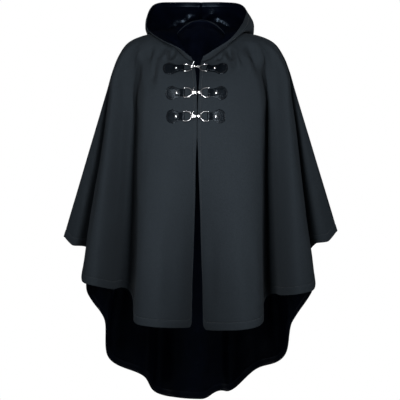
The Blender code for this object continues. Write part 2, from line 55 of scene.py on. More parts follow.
RINGS = (
    # half_width, front, back, side_z, front_z, back_z, right_edge, left_edge, folds
    (0.067, 0.064, 0.058, -0.010, -0.086, 0.030, 0.0185, 0.0005, 0.0),
    (0.112, 0.086, 0.080, -0.006, -0.104, 0.012, 0.0165, -0.0020, 0.0),
    (0.159, 0.112, 0.104, -0.014, -0.130, -0.026, 0.0135, -0.0038, 0.08),
    (0.198, 0.132, 0.122, -0.034, -0.166, -0.076, 0.0120, -0.0060, 0.35),
    (0.221, 0.142, 0.133, -0.067, -0.212, -0.130, 0.0112, -0.0080, 0.75),
    (0.237, 0.150, 0.141, -0.106, -0.268, -0.190, 0.0113, -0.0092, 1.0),
)
EDGE_ENDS_DEG = 50
PULLED_IN = 0.6
RING_AT = (0.0, 0.05, 0.105, 0.16, 0.21, 0.265)
HANG_AT = (0.35, 0.50, 0.70, 0.86, 1.0)

HEM_RIGHT = (
    # name, yoke_deg, sink, out, y, z, heading, reach
    ("front edge", 0, 0.000, 0.0245, -0.116, -0.786, -72, 0.034),
    ("flute 1", 20, -0.003, 0.124, -0.236, -0.780, 0, 0.032),
    ("flute 1 fold", 38, -0.001, 0.176, -0.190, -0.762, 86, 0.026),
    ("valley 1", 60, 0.060, 0.196, 0.022, -0.690, 11, 0.019),
    ("flute 2 wall", 68, 0.033, 0.236, -0.042, -0.688, -66, 0.022),
    ("flute 2", 75, -0.003, 0.289, -0.131, -0.674, 4, 0.023),
    ("flute 2 fold", 81, 0.000, 0.315, -0.092, -0.654, 86, 0.012),
    ("valley 2", 86, 0.012, 0.300, 0.010, -0.582, 40, 0.012),
    ("wing hem", 90, 0.002, 0.345, 0.010, -0.571, 24, 0.010),
    ("wing", 94, 0.000, 0.368, 0.036, -0.549, 92, 0.010),
    ("valley 3", 105, 0.006, 0.302, 0.092, -0.588, 122, 0.022),
    ("back flute 1", 118, -0.002, 0.307, 0.168, -0.710, 132, 0.026),
    ("valley 4", 128, 0.012, 0.262, 0.140, -0.776, 128, 0.018),
    ("back flute 2", 139, -0.002, 0.250, 0.218, -0.888, 142, 0.030),
    ("valley 5", 150, 0.010, 0.160, 0.190, -0.930, 170, 0.022),
    ("back flute 3", 161, -0.002, 0.122, 0.258, -0.982, 160, 0.026),
    ("valley 6", 171, 0.008, 0.066, 0.228, -0.993, 180, 0.018),
    ("centre back", 180, -0.002, 0.000, 0.254, -0.999, 180, 0.022),
)
HEM_LEFT = (
    # name, yoke_deg, sink, out, y, z, heading, reach
    ("front edge", 0, 0.000, 0.0065, -0.130, -0.792, -62, 0.032),
    ("flute 1", 22, -0.003, 0.118, -0.236, -0.786, 0, 0.036),
    ("flute 1 fold", 41, -0.002, 0.163, -0.184, -0.760, 90, 0.022),
    ("valley 1", 59, 0.062, 0.182, 0.022, -0.705, 7, 0.019),
    ("flute 2 wall", 66, 0.035, 0.214, -0.046, -0.704, -68, 0.022),
    ("flute 2", 73, -0.003, 0.266, -0.131, -0.696, 4, 0.026),
    ("flute 2 fold", 80, 0.000, 0.302, -0.100, -0.672, 82, 0.014),
    ("valley 2", 86, 0.013, 0.284, 0.010, -0.579, 40, 0.012),
    ("wing hem", 90, 0.002, 0.342, 0.010, -0.560, 24, 0.010),
    ("wing", 94, 0.000, 0.366, 0.036, -0.534, 92, 0.010),
    ("valley 3", 105, 0.006, 0.294, 0.092, -0.588, 122, 0.022),
    ("back flute 1", 118, -0.002, 0.300, 0.168, -0.706, 138, 0.026),
    ("valley 4", 128, 0.012, 0.246, 0.140, -0.788, 120, 0.018),
    ("back flute 2", 139, -0.002, 0.222, 0.218, -0.886, 144, 0.030),
    ("valley 5", 150, 0.010, 0.152, 0.190, -0.912, 172, 0.024),
    ("back flute 3", 161, -0.002, 0.086, 0.254, -0.973, 166, 0.022),
    ("valley 6", 171, 0.008, 0.048, 0.228, -0.975, 180, 0.018),
    ("centre back", 180, -0.002, 0.000, 0.254, -0.999, 180, 0.022),
)
HEM = {-1: HEM_RIGHT, 1: HEM_LEFT}
SIDES = ((-1, "right"), (1, "left"))
ROW_NAMES = [row[0] for row in HEM_RIGHT]
CENTRE_BACK = len(ROW_NAMES) - 1
SIDE_SEAM = ROW_NAMES.index("wing") - 0.12

HOOD_RIGHT = (
    # yoke_deg, lies_to, rim_out, rim_y, rim_z, bulge
    (0, 0.006, 0.027, -0.078, -0.074, 0.000),
    (34, 0.024, 0.060, -0.088, -0.0505, 0.002),
    (62, 0.048, 0.104, -0.066, -0.029, 0.001),
    (88, 0.072, 0.142, -0.016, 0.001, 0.000),
    (108, 0.090, 0.147, 0.036, 0.030, 0.003),
    (126, 0.122, 0.138, 0.082, 0.064, 0.012),
    (144, 0.158, 0.117, 0.120, 0.0825, 0.024),
    (162, 0.188, 0.066, 0.148, 0.0865, 0.034),
    (180, 0.200, 0.000, 0.158, 0.0870, 0.038),
)
HOOD_LEFT = (
    # yoke_deg, lies_to, rim_out, rim_y, rim_z, bulge
    (0, 0.006, 0.006, -0.078, -0.072, 0.000),
    (34, 0.024, 0.038, -0.086, -0.053, 0.005),
    (62, 0.042, 0.077, -0.067, -0.025, 0.010),
    (88, 0.062, 0.107, -0.016, 0.013, 0.014),
    (108, 0.086, 0.119, 0.038, 0.039, 0.013),
    (126, 0.120, 0.122, 0.084, 0.062, 0.014),
    (144, 0.156, 0.104, 0.120, 0.0805, 0.024),
    (162, 0.188, 0.062, 0.148, 0.0865, 0.034),
    (180, 0.200, 0.000, 0.158, 0.0870, 0.038),
)
HOOD = {-1: HOOD_RIGHT, 1: HOOD_LEFT}
HOOD_LIFT = 0.0045
FULL_LIFT_AT = 0.03
HOOD_SOFTNESS = 0.009
RIB_STEPS = 90
HEM_STEPS = 400
SEAM_STEP = 0.01
BELLY_AT = 0.55
NEAR_CAPE = 0.030
HOOD_ALONG = (0.0, 0.22, 0.46, 0.74, 1.0)

# What the eye sees close to: where seams, hems and stitches lie from each edge

FRONT_STITCH = 0.007
HEM_STITCH = 0.020
RIM_STITCH = 0.012
GROOVE_WIDTH = 0.0014
GROOVE_DEPTH = 0.00055
SEAM_DEPTH = 0.0009
SEAM_WIDTH = 0.0018
HEM_FULLNESS = 0.0005
STITCH_PITCH = 0.0042
STITCH_LENGTH = 0.0030
THREAD = 0.00024

# Creases: each runs between two places given as rows of the hem table and shares of the way from neck to hem,
# and is a soft trough, or a ridge where its depth is below zero

FRONT_CREASES = {
    -1: (
        # row, down, row_2, down_2, half_width, depth
        (3.05, 0.07, 3.00, 0.42, 0.0120, -0.0075),
        (2.5, 0.05, 2.75, 0.22, 0.008, 0.0022),
        (5, 0.14, 4.9, 0.36, 0.012, -0.0022),
        (1.55, 0.52, 1.65, 0.93, 0.014, -0.003),
        (0.75, 0.58, 0.62, 0.99, 0.02, 0.0042),
        (1.9, 0.34, 2.05, 0.6, 0.01, 0.0018),
        (5.6, 0.42, 5.65, 0.86, 0.011, 0.0022),
        (6.3, 0.6, 6.1, 0.97, 0.009, -0.0018),
        (8.2, 0.66, 7.7, 0.78, 0.007, 0.0022),
        (7.9, 0.74, 7.3, 0.9, 0.006, 0.0018),
        (0.55, 0.24, 0.95, 0.34, 0.007, 0.001),
        (8.3, 0.2, 8.45, 0.46, 0.01, 0.002),
        (2.52, 0.020, 1.55, 0.115, 0.0058, 0.0150),
        (2.66, 0.060, 1.86, 0.190, 0.0068, 0.0120),
        (3.35, 0.080, 1.75, 0.215, 0.0105, 0.0125),
        (2.20, 0.060, 1.75, 0.150, 0.0050, -0.0050),
    ),
    1: (
        (3.00, 0.08, 3.00, 0.40, 0.0120, -0.0070),
        (2.3, 0.06, 2.6, 0.2, 0.007, 0.0018),
        (4.9, 0.16, 4.8, 0.4, 0.012, -0.002),
        (1.2, 0.3, 1.35, 0.62, 0.018, -0.0016),
        (1.05, 0.66, 1.3, 0.95, 0.012, 0.003),
        (1.55, 0.84, 1.85, 0.97, 0.007, 0.002),
        (0.35, 0.6, 0.25, 0.96, 0.012, 0.0022),
        (5.7, 0.46, 5.9, 0.9, 0.012, 0.002),
        (6.2, 0.36, 6.3, 0.7, 0.009, -0.0016),
        (8.1, 0.62, 7.8, 0.82, 0.007, 0.002),
        (8.3, 0.22, 8.4, 0.5, 0.01, 0.0018),
        (0.6, 0.26, 1.1, 0.33, 0.007, 0.001),
        (2.52, 0.015, 1.35, 0.125, 0.0062, 0.0155),
        (2.05, 0.026, 0.25, 0.054, 0.0050, 0.0150),
        (3.10, 0.070, 2.20, 0.200, 0.0095, 0.0115),
        (2.10, 0.055, 1.65, 0.140, 0.0048, -0.0045),
    ),
}
BACK_CREASES = {
    -1: (
        # row, down, row_2, down_2, half_width, depth
        (10.4, 0.16, 10.2, 0.52, 0.013, 0.003),
        (11.4, 0.22, 11.2, 0.7, 0.011, 0.0026),
        (11.8, 0.62, 11.5, 0.94, 0.008, 0.002),
        (13.3, 0.2, 13.4, 0.6, 0.013, -0.0024),
        (13.6, 0.52, 13.35, 0.92, 0.01, 0.0026),
        (14.7, 0.26, 14.6, 0.66, 0.012, 0.0026),
        (15.5, 0.44, 15.3, 0.9, 0.01, 0.0022),
        (16.3, 0.2, 16.4, 0.48, 0.012, 0.0024),
        (9.7, 0.58, 9.9, 0.86, 0.008, 0.002),
    ),
    1: (
        (10.2, 0.18, 10.4, 0.48, 0.012, 0.0028),
        (11.2, 0.26, 11.4, 0.74, 0.012, 0.0026),
        (12.4, 0.6, 12.1, 0.92, 0.008, 0.002),
        (13.5, 0.18, 13.2, 0.56, 0.013, -0.0022),
        (13.2, 0.58, 13.5, 0.95, 0.009, 0.0026),
        (14.4, 0.24, 14.6, 0.58, 0.012, 0.0026),
        (15.6, 0.4, 15.4, 0.84, 0.01, 0.0024),
        (16.5, 0.3, 16.4, 0.62, 0.012, 0.0022),
        (9.6, 0.52, 9.8, 0.8, 0.008, 0.0018),
    ),
}
HOOD_CREASES = {
    -1: (
        # rib, along, rib_2, along_2, half_width, depth
        (4.2, 0.30, 6.6, 0.52, 0.008, 0.0026),
        (4.0, 0.52, 6.2, 0.74, 0.008, 0.0022),
        (5.6, 0.24, 7.7, 0.36, 0.007, 0.0024),
        (6.6, 0.66, 7.8, 0.86, 0.009, 0.0018),
        (2.4, 0.30, 3.7, 0.62, 0.006, 0.0014),
    ),
    1: (
        (4.0, 0.34, 6.3, 0.50, 0.008, 0.0026),
        (4.2, 0.58, 6.5, 0.70, 0.008, 0.0020),
        (5.4, 0.22, 7.6, 0.40, 0.007, 0.0024),
        (6.4, 0.74, 7.7, 0.84, 0.009, 0.0018),
        (2.6, 0.34, 3.9, 0.66, 0.006, 0.0014),
    ),
}
# Puckers of the satin inside the hood: most run up from the neck seam, and a few lie nearer the rim
PUCKERS = {
    -1: (
        # rib, along, rib_2, along_2, half_width, height
        (8.00, 0.00, 7.95, 0.26, 0.0034, 0.0050),
        (7.72, 0.00, 7.50, 0.20, 0.0026, 0.0046),
        (7.45, 0.02, 7.62, 0.30, 0.0024, 0.0036),
        (7.15, 0.00, 6.85, 0.18, 0.0034, 0.0058),
        (6.80, 0.02, 6.95, 0.26, 0.0022, 0.0032),
        (6.45, 0.00, 6.10, 0.22, 0.0034, 0.0060),
        (6.00, 0.00, 6.20, 0.16, 0.0024, 0.0034),
        (5.70, 0.00, 5.25, 0.24, 0.0036, 0.0054),
        (5.20, 0.00, 5.35, 0.18, 0.0026, 0.0036),
        (4.80, 0.00, 4.30, 0.26, 0.0034, 0.0048),
        (4.20, 0.02, 4.35, 0.22, 0.0026, 0.0034),
        (3.60, 0.02, 3.20, 0.34, 0.0034, 0.0036),
        (2.90, 0.04, 2.70, 0.40, 0.0030, 0.0026),
        (6.90, 0.30, 5.60, 0.46, 0.0050, 0.0030),
        (7.80, 0.40, 6.60, 0.56, 0.0050, 0.0026),
        (6.95, 0.800, 7.30, 0.815, 0.0042, 0.0070),
        (7.15, 0.840, 7.42, 0.838, 0.0036, 0.0060),
        (7.60, 0.885, 7.38, 0.826, 0.0040, 0.0085),
        (7.60, 0.880, 7.68, 0.826, 0.0034, 0.0080),
        (7.75, 0.890, 7.95, 0.832, 0.0038, 0.0085),
        (6.85, 0.765, 6.97, 0.705, 0.0042, 0.0066),
    ),
    1: (
        (7.80, 0.00, 7.62, 0.30, 0.0028, 0.0054),
        (7.50, 0.00, 7.60, 0.18, 0.0024, 0.0036),
        (7.30, 0.00, 6.95, 0.24, 0.0034, 0.0056),
        (6.90, 0.02, 7.05, 0.28, 0.0022, 0.0032),
        (6.60, 0.00, 6.20, 0.16, 0.0030, 0.0050),
        (6.20, 0.00, 6.35, 0.24, 0.0024, 0.0036),
        (5.90, 0.00, 5.40, 0.22, 0.0036, 0.0060),
        (5.40, 0.00, 5.60, 0.16, 0.0024, 0.0034),
        (5.00, 0.00, 4.50, 0.26, 0.0034, 0.0052),
        (4.40, 0.00, 4.50, 0.18, 0.0026, 0.0036),
        (4.00, 0.02, 3.50, 0.30, 0.0034, 0.0044),
        (3.30, 0.02, 3.10, 0.34, 0.0030, 0.0034),
        (2.70, 0.04, 2.50, 0.42, 0.0030, 0.0026),
        (6.60, 0.32, 5.40, 0.42, 0.0050, 0.0030),
        (7.60, 0.44, 6.40, 0.52, 0.0050, 0.0026),
        (7.80, 0.890, 7.96, 0.855, 0.0034, 0.0075),
        (7.62, 0.908, 7.94, 0.832, 0.0042, 0.0085),
        (7.45, 0.852, 7.80, 0.808, 0.0042, 0.0085),
        (7.42, 0.852, 6.98, 0.805, 0.0040, 0.0080),
        (7.05, 0.800, 6.93, 0.735, 0.0038, 0.0070),
        (7.20, 0.735, 6.93, 0.749, 0.0040, 0.0060),
    ),
}

# Smooth unevenness of the cloth
RIPPLES = {
    # size, height, seed
    "front": ((0.110, 0.0016, 3), (0.045, 0.0005, 9)),
    "back": ((0.120, 0.0020, 21), (0.050, 0.0006, 27)),
    "hood": ((0.060, 0.0012, 51),),
}

# Clasps, in the solids' own numbers, and the finer shapes that stand for them

CLASPS = (
    # x, z, tab_length, turn of the hook about its own line, in degrees
    (-0.0147, -0.1055, 0.0535, 68),
    (-0.0120, -0.1703, 0.0485, 0),
    (-0.0133, -0.2323, 0.0450, -6),
)
LEATHER = 0.0020
ON_CLOTH = 0.0006
PLAY = 0.0003
WIRE = 0.00135
RING_HALF_HEIGHT = 0.0130
RING_LENGTH = 0.0222
RING_CORNER = 0.0028
BOW_FROM = 0.0070
RING_TILT = 0.0016
APEX_APART = 0.0220
LOOP = WIRE + PLAY + LEATHER / 2
BAR_HEIGHT = ON_CLOTH + LEATHER / 2 + LOOP
FLAP_HEIGHT = ON_CLOTH + LEATHER * 1.5 + PLAY
FLAT_FROM = 0.007
TAB_MIDDLE = 0.030
FAR = 0.5
NEARBY = 0.0025
TAB_WIDTHS = (
    # share of the length, half_width
    (0.00, 0.0040),
    (0.03, 0.0090),
    (0.10, 0.0146),
    (0.22, 0.0186),
    (0.36, 0.0190),
    (0.52, 0.0158),
    (0.70, 0.0120),
    (0.88, 0.0100),
)
FLAP = (
    # back from the bar, height above where the flap lies, half_width
    (0.0045, 0.0018, 0.0096),
    (0.0090, 0.0002, 0.0094),
    (0.0150, 0.0000, 0.0090),
    (0.0235, 0.0000, 0.0066),
)
LOOP_HALF_WIDTH = 0.0096
RIVET_BACK = 0.0190
RIVET_RADIUS = 0.0042
RIVET_HEIGHT = 0.0024
RIVET_SIDES = 28
WIRE_SIDES = 14
HOOK_PLAY = 0.0005
HOOK_THICK = 0.0020


def between(f, first, second, leaving, arriving):
    """Points a share f of the way between two, on curves with these tangents over the whole way."""
    start = (1 + 2 * f) * (1 - f) ** 2 * first + f * (1 - f) ** 2 * leaving
    return start + f * f * (3 - 2 * f) * second - f * f * (1 - f) * arriving


def through(knots, values, at, level=False):
    """A smooth curve through the values at the knots, read at these places. A level one never overshoots."""
    knots, values, at = np.asarray(knots, float), np.asarray(values, float), np.asarray(at, float)
    step = np.diff(knots)
    flat = values.reshape(len(knots), -1)
    tangent = tangents(step, flat, level)
    i = np.clip(np.searchsorted(knots, at, side="right") - 1, 0, len(step) - 1)
    f = ((at - knots[i]) / step[i])[:, None]
    h = step[i][:, None]
    found = between(f, flat[i], flat[i + 1], h * tangent[i], h * tangent[i + 1])
    return found.reshape((len(at),) + values.shape[1:])


def tangents(step, flat, level):
    slope = np.diff(flat, axis=0) / step[:, None]
    middle = (slope[:-1] * step[1:, None] + slope[1:] * step[:-1, None]) / (step[:-1] + step[1:])[:, None]
    if level:
        before, after = slope[:-1], slope[1:]
        same = before * after > 0
        middle = np.where(same, 2 * before * after / np.where(same, before + after, 1), 0)
    return np.concatenate([slope[:1], middle, slope[-1:]])


def through_each(knots, lines, at):
    """The same curve for many lines, lines[knot, point], each read at its own place."""
    knots = np.asarray(knots, float)
    step = np.diff(knots)
    shape = lines.shape
    tangent = tangents(step, lines.reshape(len(knots), -1), False).reshape(shape)
    i = np.clip(np.searchsorted(knots, at, side="right") - 1, 0, len(step) - 1)
    n = np.arange(shape[1])
    f = ((at - knots[i]) / step[i])[:, None]
    h = step[i][:, None]
    return between(f, lines[i, n], lines[i + 1, n], h * tangent[i, n], h * tangent[i + 1, n])


def smooth_step(x):
    x = np.clip(x, 0, 1)
    return x * x * (3 - 2 * x)


def unit(v):
    return v / np.maximum(np.linalg.norm(v, axis=-1, keepdims=True), 1e-12)


def hem_line(side, along):
    """Points of the hem at places counted in rows, and for each the yoke's angle and its sink."""
    rows = HEM[side]
    data = np.array([row[1:] for row in rows], float)
    yoke, xyz = data[:, :2], data[:, 2:5] * (side, 1, 1)
    heading, reach = np.radians(data[:, 5]), 3 * data[:, 6]
    fall = np.gradient(data[:, 4])
    fall[[0, -1]] = 0
    tangent = np.stack([side * reach * np.cos(heading), reach * np.sin(heading), fall], axis=1)
    i = np.clip(np.floor(along).astype(int), 0, CENTRE_BACK - 1)
    f = (along - i)[:, None]
    points = between(f, xyz[i], xyz[i + 1], tangent[i], tangent[i + 1])
    from_edge = np.linalg.norm((points - xyz[0])[:, :2], axis=1)
    short = np.clip(1 - from_edge / CORNER_RADIUS, 0, 1)
    points[:, 2] += CORNER_RADIUS * (1 - np.sqrt(1 - short**2))
    return points, through(np.arange(len(rows)), yoke, along, level=True).T


def yoke_ring(side, ring, degrees, sink):
    """Points of one ring of the yoke."""
    half_width, front, back, side_z, front_z, back_z, right_edge, left_edge, folds = RINGS[ring]
    edge = right_edge if side < 0 else left_edge
    turn = np.radians(degrees)
    cosine = np.cos(turn)
    out = half_width * np.sin(turn) + edge * (1 - smooth_step(degrees / EDGE_ENDS_DEG))
    depth = front * (1 + cosine) / 2 + back * (1 - cosine) / 2
    end_z = np.where(cosine > 0, front_z, back_z)
    sunk = folds * sink
    out, y = out - sunk * np.sin(turn) * PULLED_IN, (sunk * (2 - abs(cosine)) - depth) * cosine
    return np.stack([side * out, y, side_z + (end_z - side_z) * cosine**2], axis=1)


def cape(side, along, down):
    """The outer face of the cape: along runs from front edge to centre back, and down from neck to hem."""
    along, down = np.broadcast_arrays(np.asarray(along, float), np.asarray(down, float))
    shape = along.shape
    hem, (degrees, sink) = hem_line(side, along.ravel())
    rings = [yoke_ring(side, k, degrees, sink) for k in range(len(RINGS))]
    last, start = rings[-1], RING_AT[-1]
    hang = [last + (hem - last) * (at - start) / (1 - start) for at in HANG_AT]
    return through_each(RING_AT + HANG_AT, np.stack(rings + hang), down.ravel()).reshape(shape + (3,))


def facing(surface, side, first, second, step=1e-3):
    """The unit normals of a surface of two parameters, on its outer side."""
    a = surface(side, first + step, second) - surface(side, first - step, second)
    b = surface(side, first, second + step) - surface(side, first, second - step)
    return unit(np.cross(a, b)) * -side


def within(values, low, high, margin=2e-3):
    return np.clip(values, low + margin, high - margin)


def cape_normals(side, along, down):
    return facing(cape, side, within(along, 0, CENTRE_BACK), within(down, 0, 1))


def lengths_along(line):
    """How far along a line each of its points lies."""
    return np.concatenate([[0], np.cumsum(np.linalg.norm(np.diff(line, axis=0), axis=1))])


def read_at(places, lengths, values):
    """Values read off a line at these lengths along it."""
    return np.stack([np.interp(places, lengths, axis) for axis in values.T], axis=1)


def evenly(line, places):
    """Points at these shares of a line's length."""
    lengths = lengths_along(line)
    return read_at(places, lengths / lengths[-1], line)


def softened(line, places):
    """Points at these shares of a line whose bends are rounded, with its ends kept."""
    even = evenly(line, np.linspace(0, 1, RIB_STEPS))
    length = lengths_along(even)[-1]
    before, after = 2 * even[0] - even[:0:-1], 2 * even[-1] - even[-2::-1]
    longer = np.concatenate([before, even, after])
    at = np.linspace(-1, 2, len(longer))
    weight = np.exp(-(((at[RIB_STEPS - 1 : 2 * RIB_STEPS - 1, None] - at) * length / HOOD_SOFTNESS) ** 2) / 2)
    soft = (weight @ longer) / weight.sum(axis=1, keepdims=True)
    return evenly(soft, places)


def hood(side, rib, along):
    """The outer face of the hood: rib runs from the throat to the centre back, along from neckline to rim."""
    rib, along = np.broadcast_arrays(np.asarray(rib, float), np.asarray(along, float))
    shape = rib.shape
    ribs, which = np.unique(rib.ravel(), return_inverse=True)
    rows = through(np.arange(len(HOOD[side])), np.array(HOOD[side], float), ribs)
    columns = np.linspace(0, CENTRE_BACK, HEM_STEPS)
    start = np.interp(rows[:, 0], hem_line(side, columns)[1][0], columns)
    lies_to, rim, bulge = rows[:, 1], rows[:, 2:5] * (side, 1, 1), rows[:, 5:6]
    seam = cape(side, start, 0 * start)
    seam -= unit(cape(side, start, 0 * start + SEAM_STEP) - seam) * SEAM_GAP
    lift = HOOD_LIFT * np.minimum(lies_to / FULL_LIFT_AT, 1)[:, None]
    middle = cape(side, start, lies_to * 0.5) + cape_normals(side, start, lies_to * 0.5) * lift
    turn = cape(side, start, lies_to) + cape_normals(side, start, lies_to) * lift
    outward = unit(rim * (1, 1, 0) + (0, 0, 1e-6))
    belly = turn * (1 - BELLY_AT) + rim * BELLY_AT + outward * bulge
    lines = np.stack([seam, middle, turn, belly, rim])
    fine = through(HOOD_ALONG, lines, np.linspace(0, 1, RIB_STEPS), level=True)
    places, at_place = np.unique(along.ravel(), return_inverse=True)
    net = np.stack([softened(fine[:, k], places) for k in range(len(ribs))], axis=1)
    return net[at_place, which].reshape(shape + (3,))


# Nets: points and outward normals, column by column, with the distances in metres from the edges


def net_normals(points):
    """Unit normals of a net from its own points."""
    a = np.gradient(points, axis=0)
    b = np.gradient(points, axis=1)
    return unit(np.cross(a, b))


CREASE_ENDS = 0.35
CREASE_BOW = 0.12
SHARP_POWER = 1.3
# The low swell beside a trough: its share of the depth, and in half widths its place and its squared width
SWELL, SWELL_AT, SWELL_WIDE = 0.28, 2.4, 0.9


def crease_offset(points, lines, sharp=False):
    """How far these creases push each point along its normal: below zero in a trough."""
    total = np.zeros(points.shape[:2])
    for path, half_width, depth in lines:
        best = np.full(total.shape, np.inf)
        share = np.zeros(total.shape)
        last = len(path) - 2
        for k, (a, b) in enumerate(zip(path, path[1:])):
            run = b - a
            t = np.clip(((points - a) @ run) / max(run @ run, 1e-12), 0, 1)
            gap = np.linalg.norm(points - (a + t[..., None] * run), axis=-1)
            nearer = gap < best
            best = np.where(nearer, gap, best)
            share = np.where(nearer, (k + t) / (last + 1), share)
        ends = smooth_step(share / CREASE_ENDS) * smooth_step((1 - share) / CREASE_ENDS)
        x = best / half_width
        if sharp:
            profile = np.exp(-(x**SHARP_POWER))
            ends = np.maximum(ends, (1 - share) ** 2)
        else:
            profile = np.exp(-(x**2) / 2) - SWELL * np.exp(-((x - SWELL_AT) ** 2) / SWELL_WIDE)
        total -= depth * profile * ends
    return total


def crease_paths(surface, side, table, steps=14):
    paths = []
    for first, down, first_2, down_2, half_width, depth in table:
        share = np.linspace(0, 1, steps)
        bow = CREASE_BOW * np.sin(share * math.pi) * (first_2 - first + 0.3)
        line = surface(side, first + (first_2 - first) * share + bow, down + (down_2 - down) * share)
        paths.append((line, half_width, depth))
    return paths


def ripple(points, size, height, seed):
    """A smooth unevenness of about this size."""
    shift = Vector((seed * 7.31, seed * 3.17, seed * 5.53))
    flat = points.reshape(-1, 3) / size
    found = [noise.noise(Vector(p) + shift) for p in flat]
    return np.array(found).reshape(points.shape[:2]) * height


def rippled(points, where, side=0):
    return sum(ripple(points, size, height, seed + side) for size, height, seed in RIPPLES[where])


def groove(distance, at, width=GROOVE_WIDTH, depth=GROOVE_DEPTH):
    return -depth * np.exp(-(((distance - at) / width) ** 2))


def seam_line(distance):
    return groove(distance, 0, SEAM_WIDTH, SEAM_DEPTH)


def hem_fullness(from_hem):
    return HEM_FULLNESS * smooth_step((HEM_STITCH - from_hem) / HEM_EASE)


def eased_at_seam(from_seam):
    """Little of a crease is left at a seam."""
    return smooth_step(from_seam / 0.03 + 0.15)


# Distances from an edge at which a net has its first columns or rows, closer together where it is grooved
NEAR_EDGE = np.array((0, 0.0010, 0.0022, 0.0038, 0.0052, 0.0062, 0.0070, 0.0078, 0.0088, 0.0104, 0.0130))
NEAR_SEAM = np.array((0, 0.0008, 0.0018, 0.0032, 0.0052, 0.0080))
NEAR_HEM = np.array((
    0, 0.0008, 0.0020, 0.0040, 0.0075, 0.0120, 0.0160, 0.0180,
    0.0191, 0.0200, 0.0209, 0.0220, 0.0240, 0.0275, 0.0330,
))
NEAR_RIM = np.array((0, 0.0008, 0.0020, 0.0045, 0.0080, 0.0103, 0.0112, 0.0120, 0.0128, 0.0138, 0.0165))
FRONT_GRID = (128, 112)
BACK_GRID = (104, 118)
CROWDED = 1.25
LAST_BIT = 0.03
HEM_EASE = 0.004
# Where the clasps lie, and how far from them the cloth may crease
CLASPS_X = -0.013
CLASPS_REACH = 0.085
CLASPS_TOP = -0.084
CLASPS_LOW = -0.262


def row_places(side, along, count):
    """Shares of the way down for each column: closer near the neck, and at set distances from the hem."""
    last = cape(side, along, 0 * along + 1) - cape(side, along, 0 * along + 1 - LAST_BIT)
    rate = np.linalg.norm(last, axis=1) / LAST_BIT
    near = 1 - NEAR_HEM[::-1][None, :] / rate[:, None]
    share = np.linspace(0, 1, count) ** CROWDED
    return np.concatenate([near[:, :1] * share, near[:, 1:]], axis=1)


def column_places(side, downs, count, first, last, near_first, near_last):
    """Rows of the hem table for each column, at set distances from both ends at each height."""
    found = []
    for down in downs:
        start = np.linspace(first, first + 1.6, 80)
        end = np.linspace(last - 1.2, last, 80)
        lengths = [lengths_along(cape(side, line, 0 * line + down)) for line in (start, end)]
        head = np.interp(near_first, lengths[0], start)
        tail = np.interp(lengths[1][-1] - near_last[::-1], lengths[1], end)
        middle = np.linspace(head[-1], tail[0], count + 2)[1:-1]
        found.append(np.concatenate([head, middle, tail]))
    return np.array(found).T


def distances(near, total, from_end=False):
    """For each column or row its set distance from an edge, or far off where it has none."""
    found = np.full(total, 1.0)
    found[: len(near)] = near
    return found[::-1] if from_end else found


def cape_net(side, first, last, near_first, near_last, grid):
    """Points, normals and the grids of table rows and shares down of one side of the cape."""
    columns, rows = grid
    nominal = np.linspace(0, 1, rows + len(NEAR_HEM) - 1)
    guide = column_places(side, nominal, columns, first, last, near_first, near_last)
    downs = row_places(side, guide[:, -1], rows)
    along = np.stack([[np.interp(d, nominal, line) for d in down] for line, down in zip(guide, downs)])
    points = cape(side, along, downs)
    return points, cape_normals(side, along, downs), along, downs


def keep_flat(points, along):
    """Nought under the clasps and their tabs, one well away from them."""
    x, z = np.abs(points[..., 0] - CLASPS_X), points[..., 2]
    beside = smooth_step((x - CLASPS_REACH) / 0.03)
    above = smooth_step((z - CLASPS_TOP) / 0.014)
    below = smooth_step((CLASPS_LOW - z) / 0.04)
    behind = smooth_step((along - 5) / 2)
    return np.maximum(np.maximum(beside, above), np.maximum(below, behind))


def front_net(side):
    points, normals, along, downs = cape_net(side, 0, SIDE_SEAM, NEAR_EDGE, NEAR_SEAM, FRONT_GRID)
    columns, rows = points.shape[:2]
    from_edge = distances(NEAR_EDGE, columns)[:, None]
    from_seam = distances(NEAR_SEAM, columns, from_end=True)[:, None]
    from_hem = distances(NEAR_HEM, rows, from_end=True)[None, :]
    creases = crease_offset(points, crease_paths(cape, side, FRONT_CREASES[side]))
    loose = creases + rippled(points, "front", side)
    hanging = smooth_step(downs / 0.045)
    offset = loose * keep_flat(points, along) * hanging * eased_at_seam(from_seam)
    corner = np.maximum(from_edge, from_hem) < CORNER_RADIUS + 0.001
    offset = offset + groove(from_edge, FRONT_STITCH) + np.where(corner, 0, groove(from_hem, HEM_STITCH))
    offset = offset + seam_line(from_seam) + hem_fullness(from_hem)
    return points + normals * offset[..., None], normals, from_edge, from_hem


def back_net():
    """The back, from the right side seam round to the left one."""
    halves = []
    for side in (-1, 1):
        points, normals, _, downs = cape_net(side, SIDE_SEAM, CENTRE_BACK, NEAR_SEAM, np.zeros(1), BACK_GRID)
        columns, rows = points.shape[:2]
        from_seam = distances(NEAR_SEAM, columns)[:, None]
        from_hem = distances(NEAR_HEM, rows, from_end=True)[None, :]
        loose = crease_offset(points, crease_paths(cape, side, BACK_CREASES[side])) + rippled(points, "back")
        offset = loose * smooth_step(downs / 0.10) * eased_at_seam(from_seam)
        offset = offset + groove(from_hem, HEM_STITCH) + hem_fullness(from_hem) + seam_line(from_seam)
        halves.append((points + normals * offset[..., None], normals, downs))
    (right, right_n, right_d), (left, left_n, left_d) = halves
    middle = unit(right_n[-1] + left_n[-1])
    right_n[-1] = middle
    right[-1] = (right[-1] + left[-1]) / 2
    points = np.concatenate([right, left[-2::-1]])
    return points, np.concatenate([right_n, left_n[-2::-1]]), np.concatenate([right_d, left_d[-2::-1]])


# Meshes


def circle(sides):
    """The cosine and sine of each of these even turns."""
    return [(math.cos(2 * math.pi * k / sides), math.sin(2 * math.pi * k / sides)) for k in range(sides)]


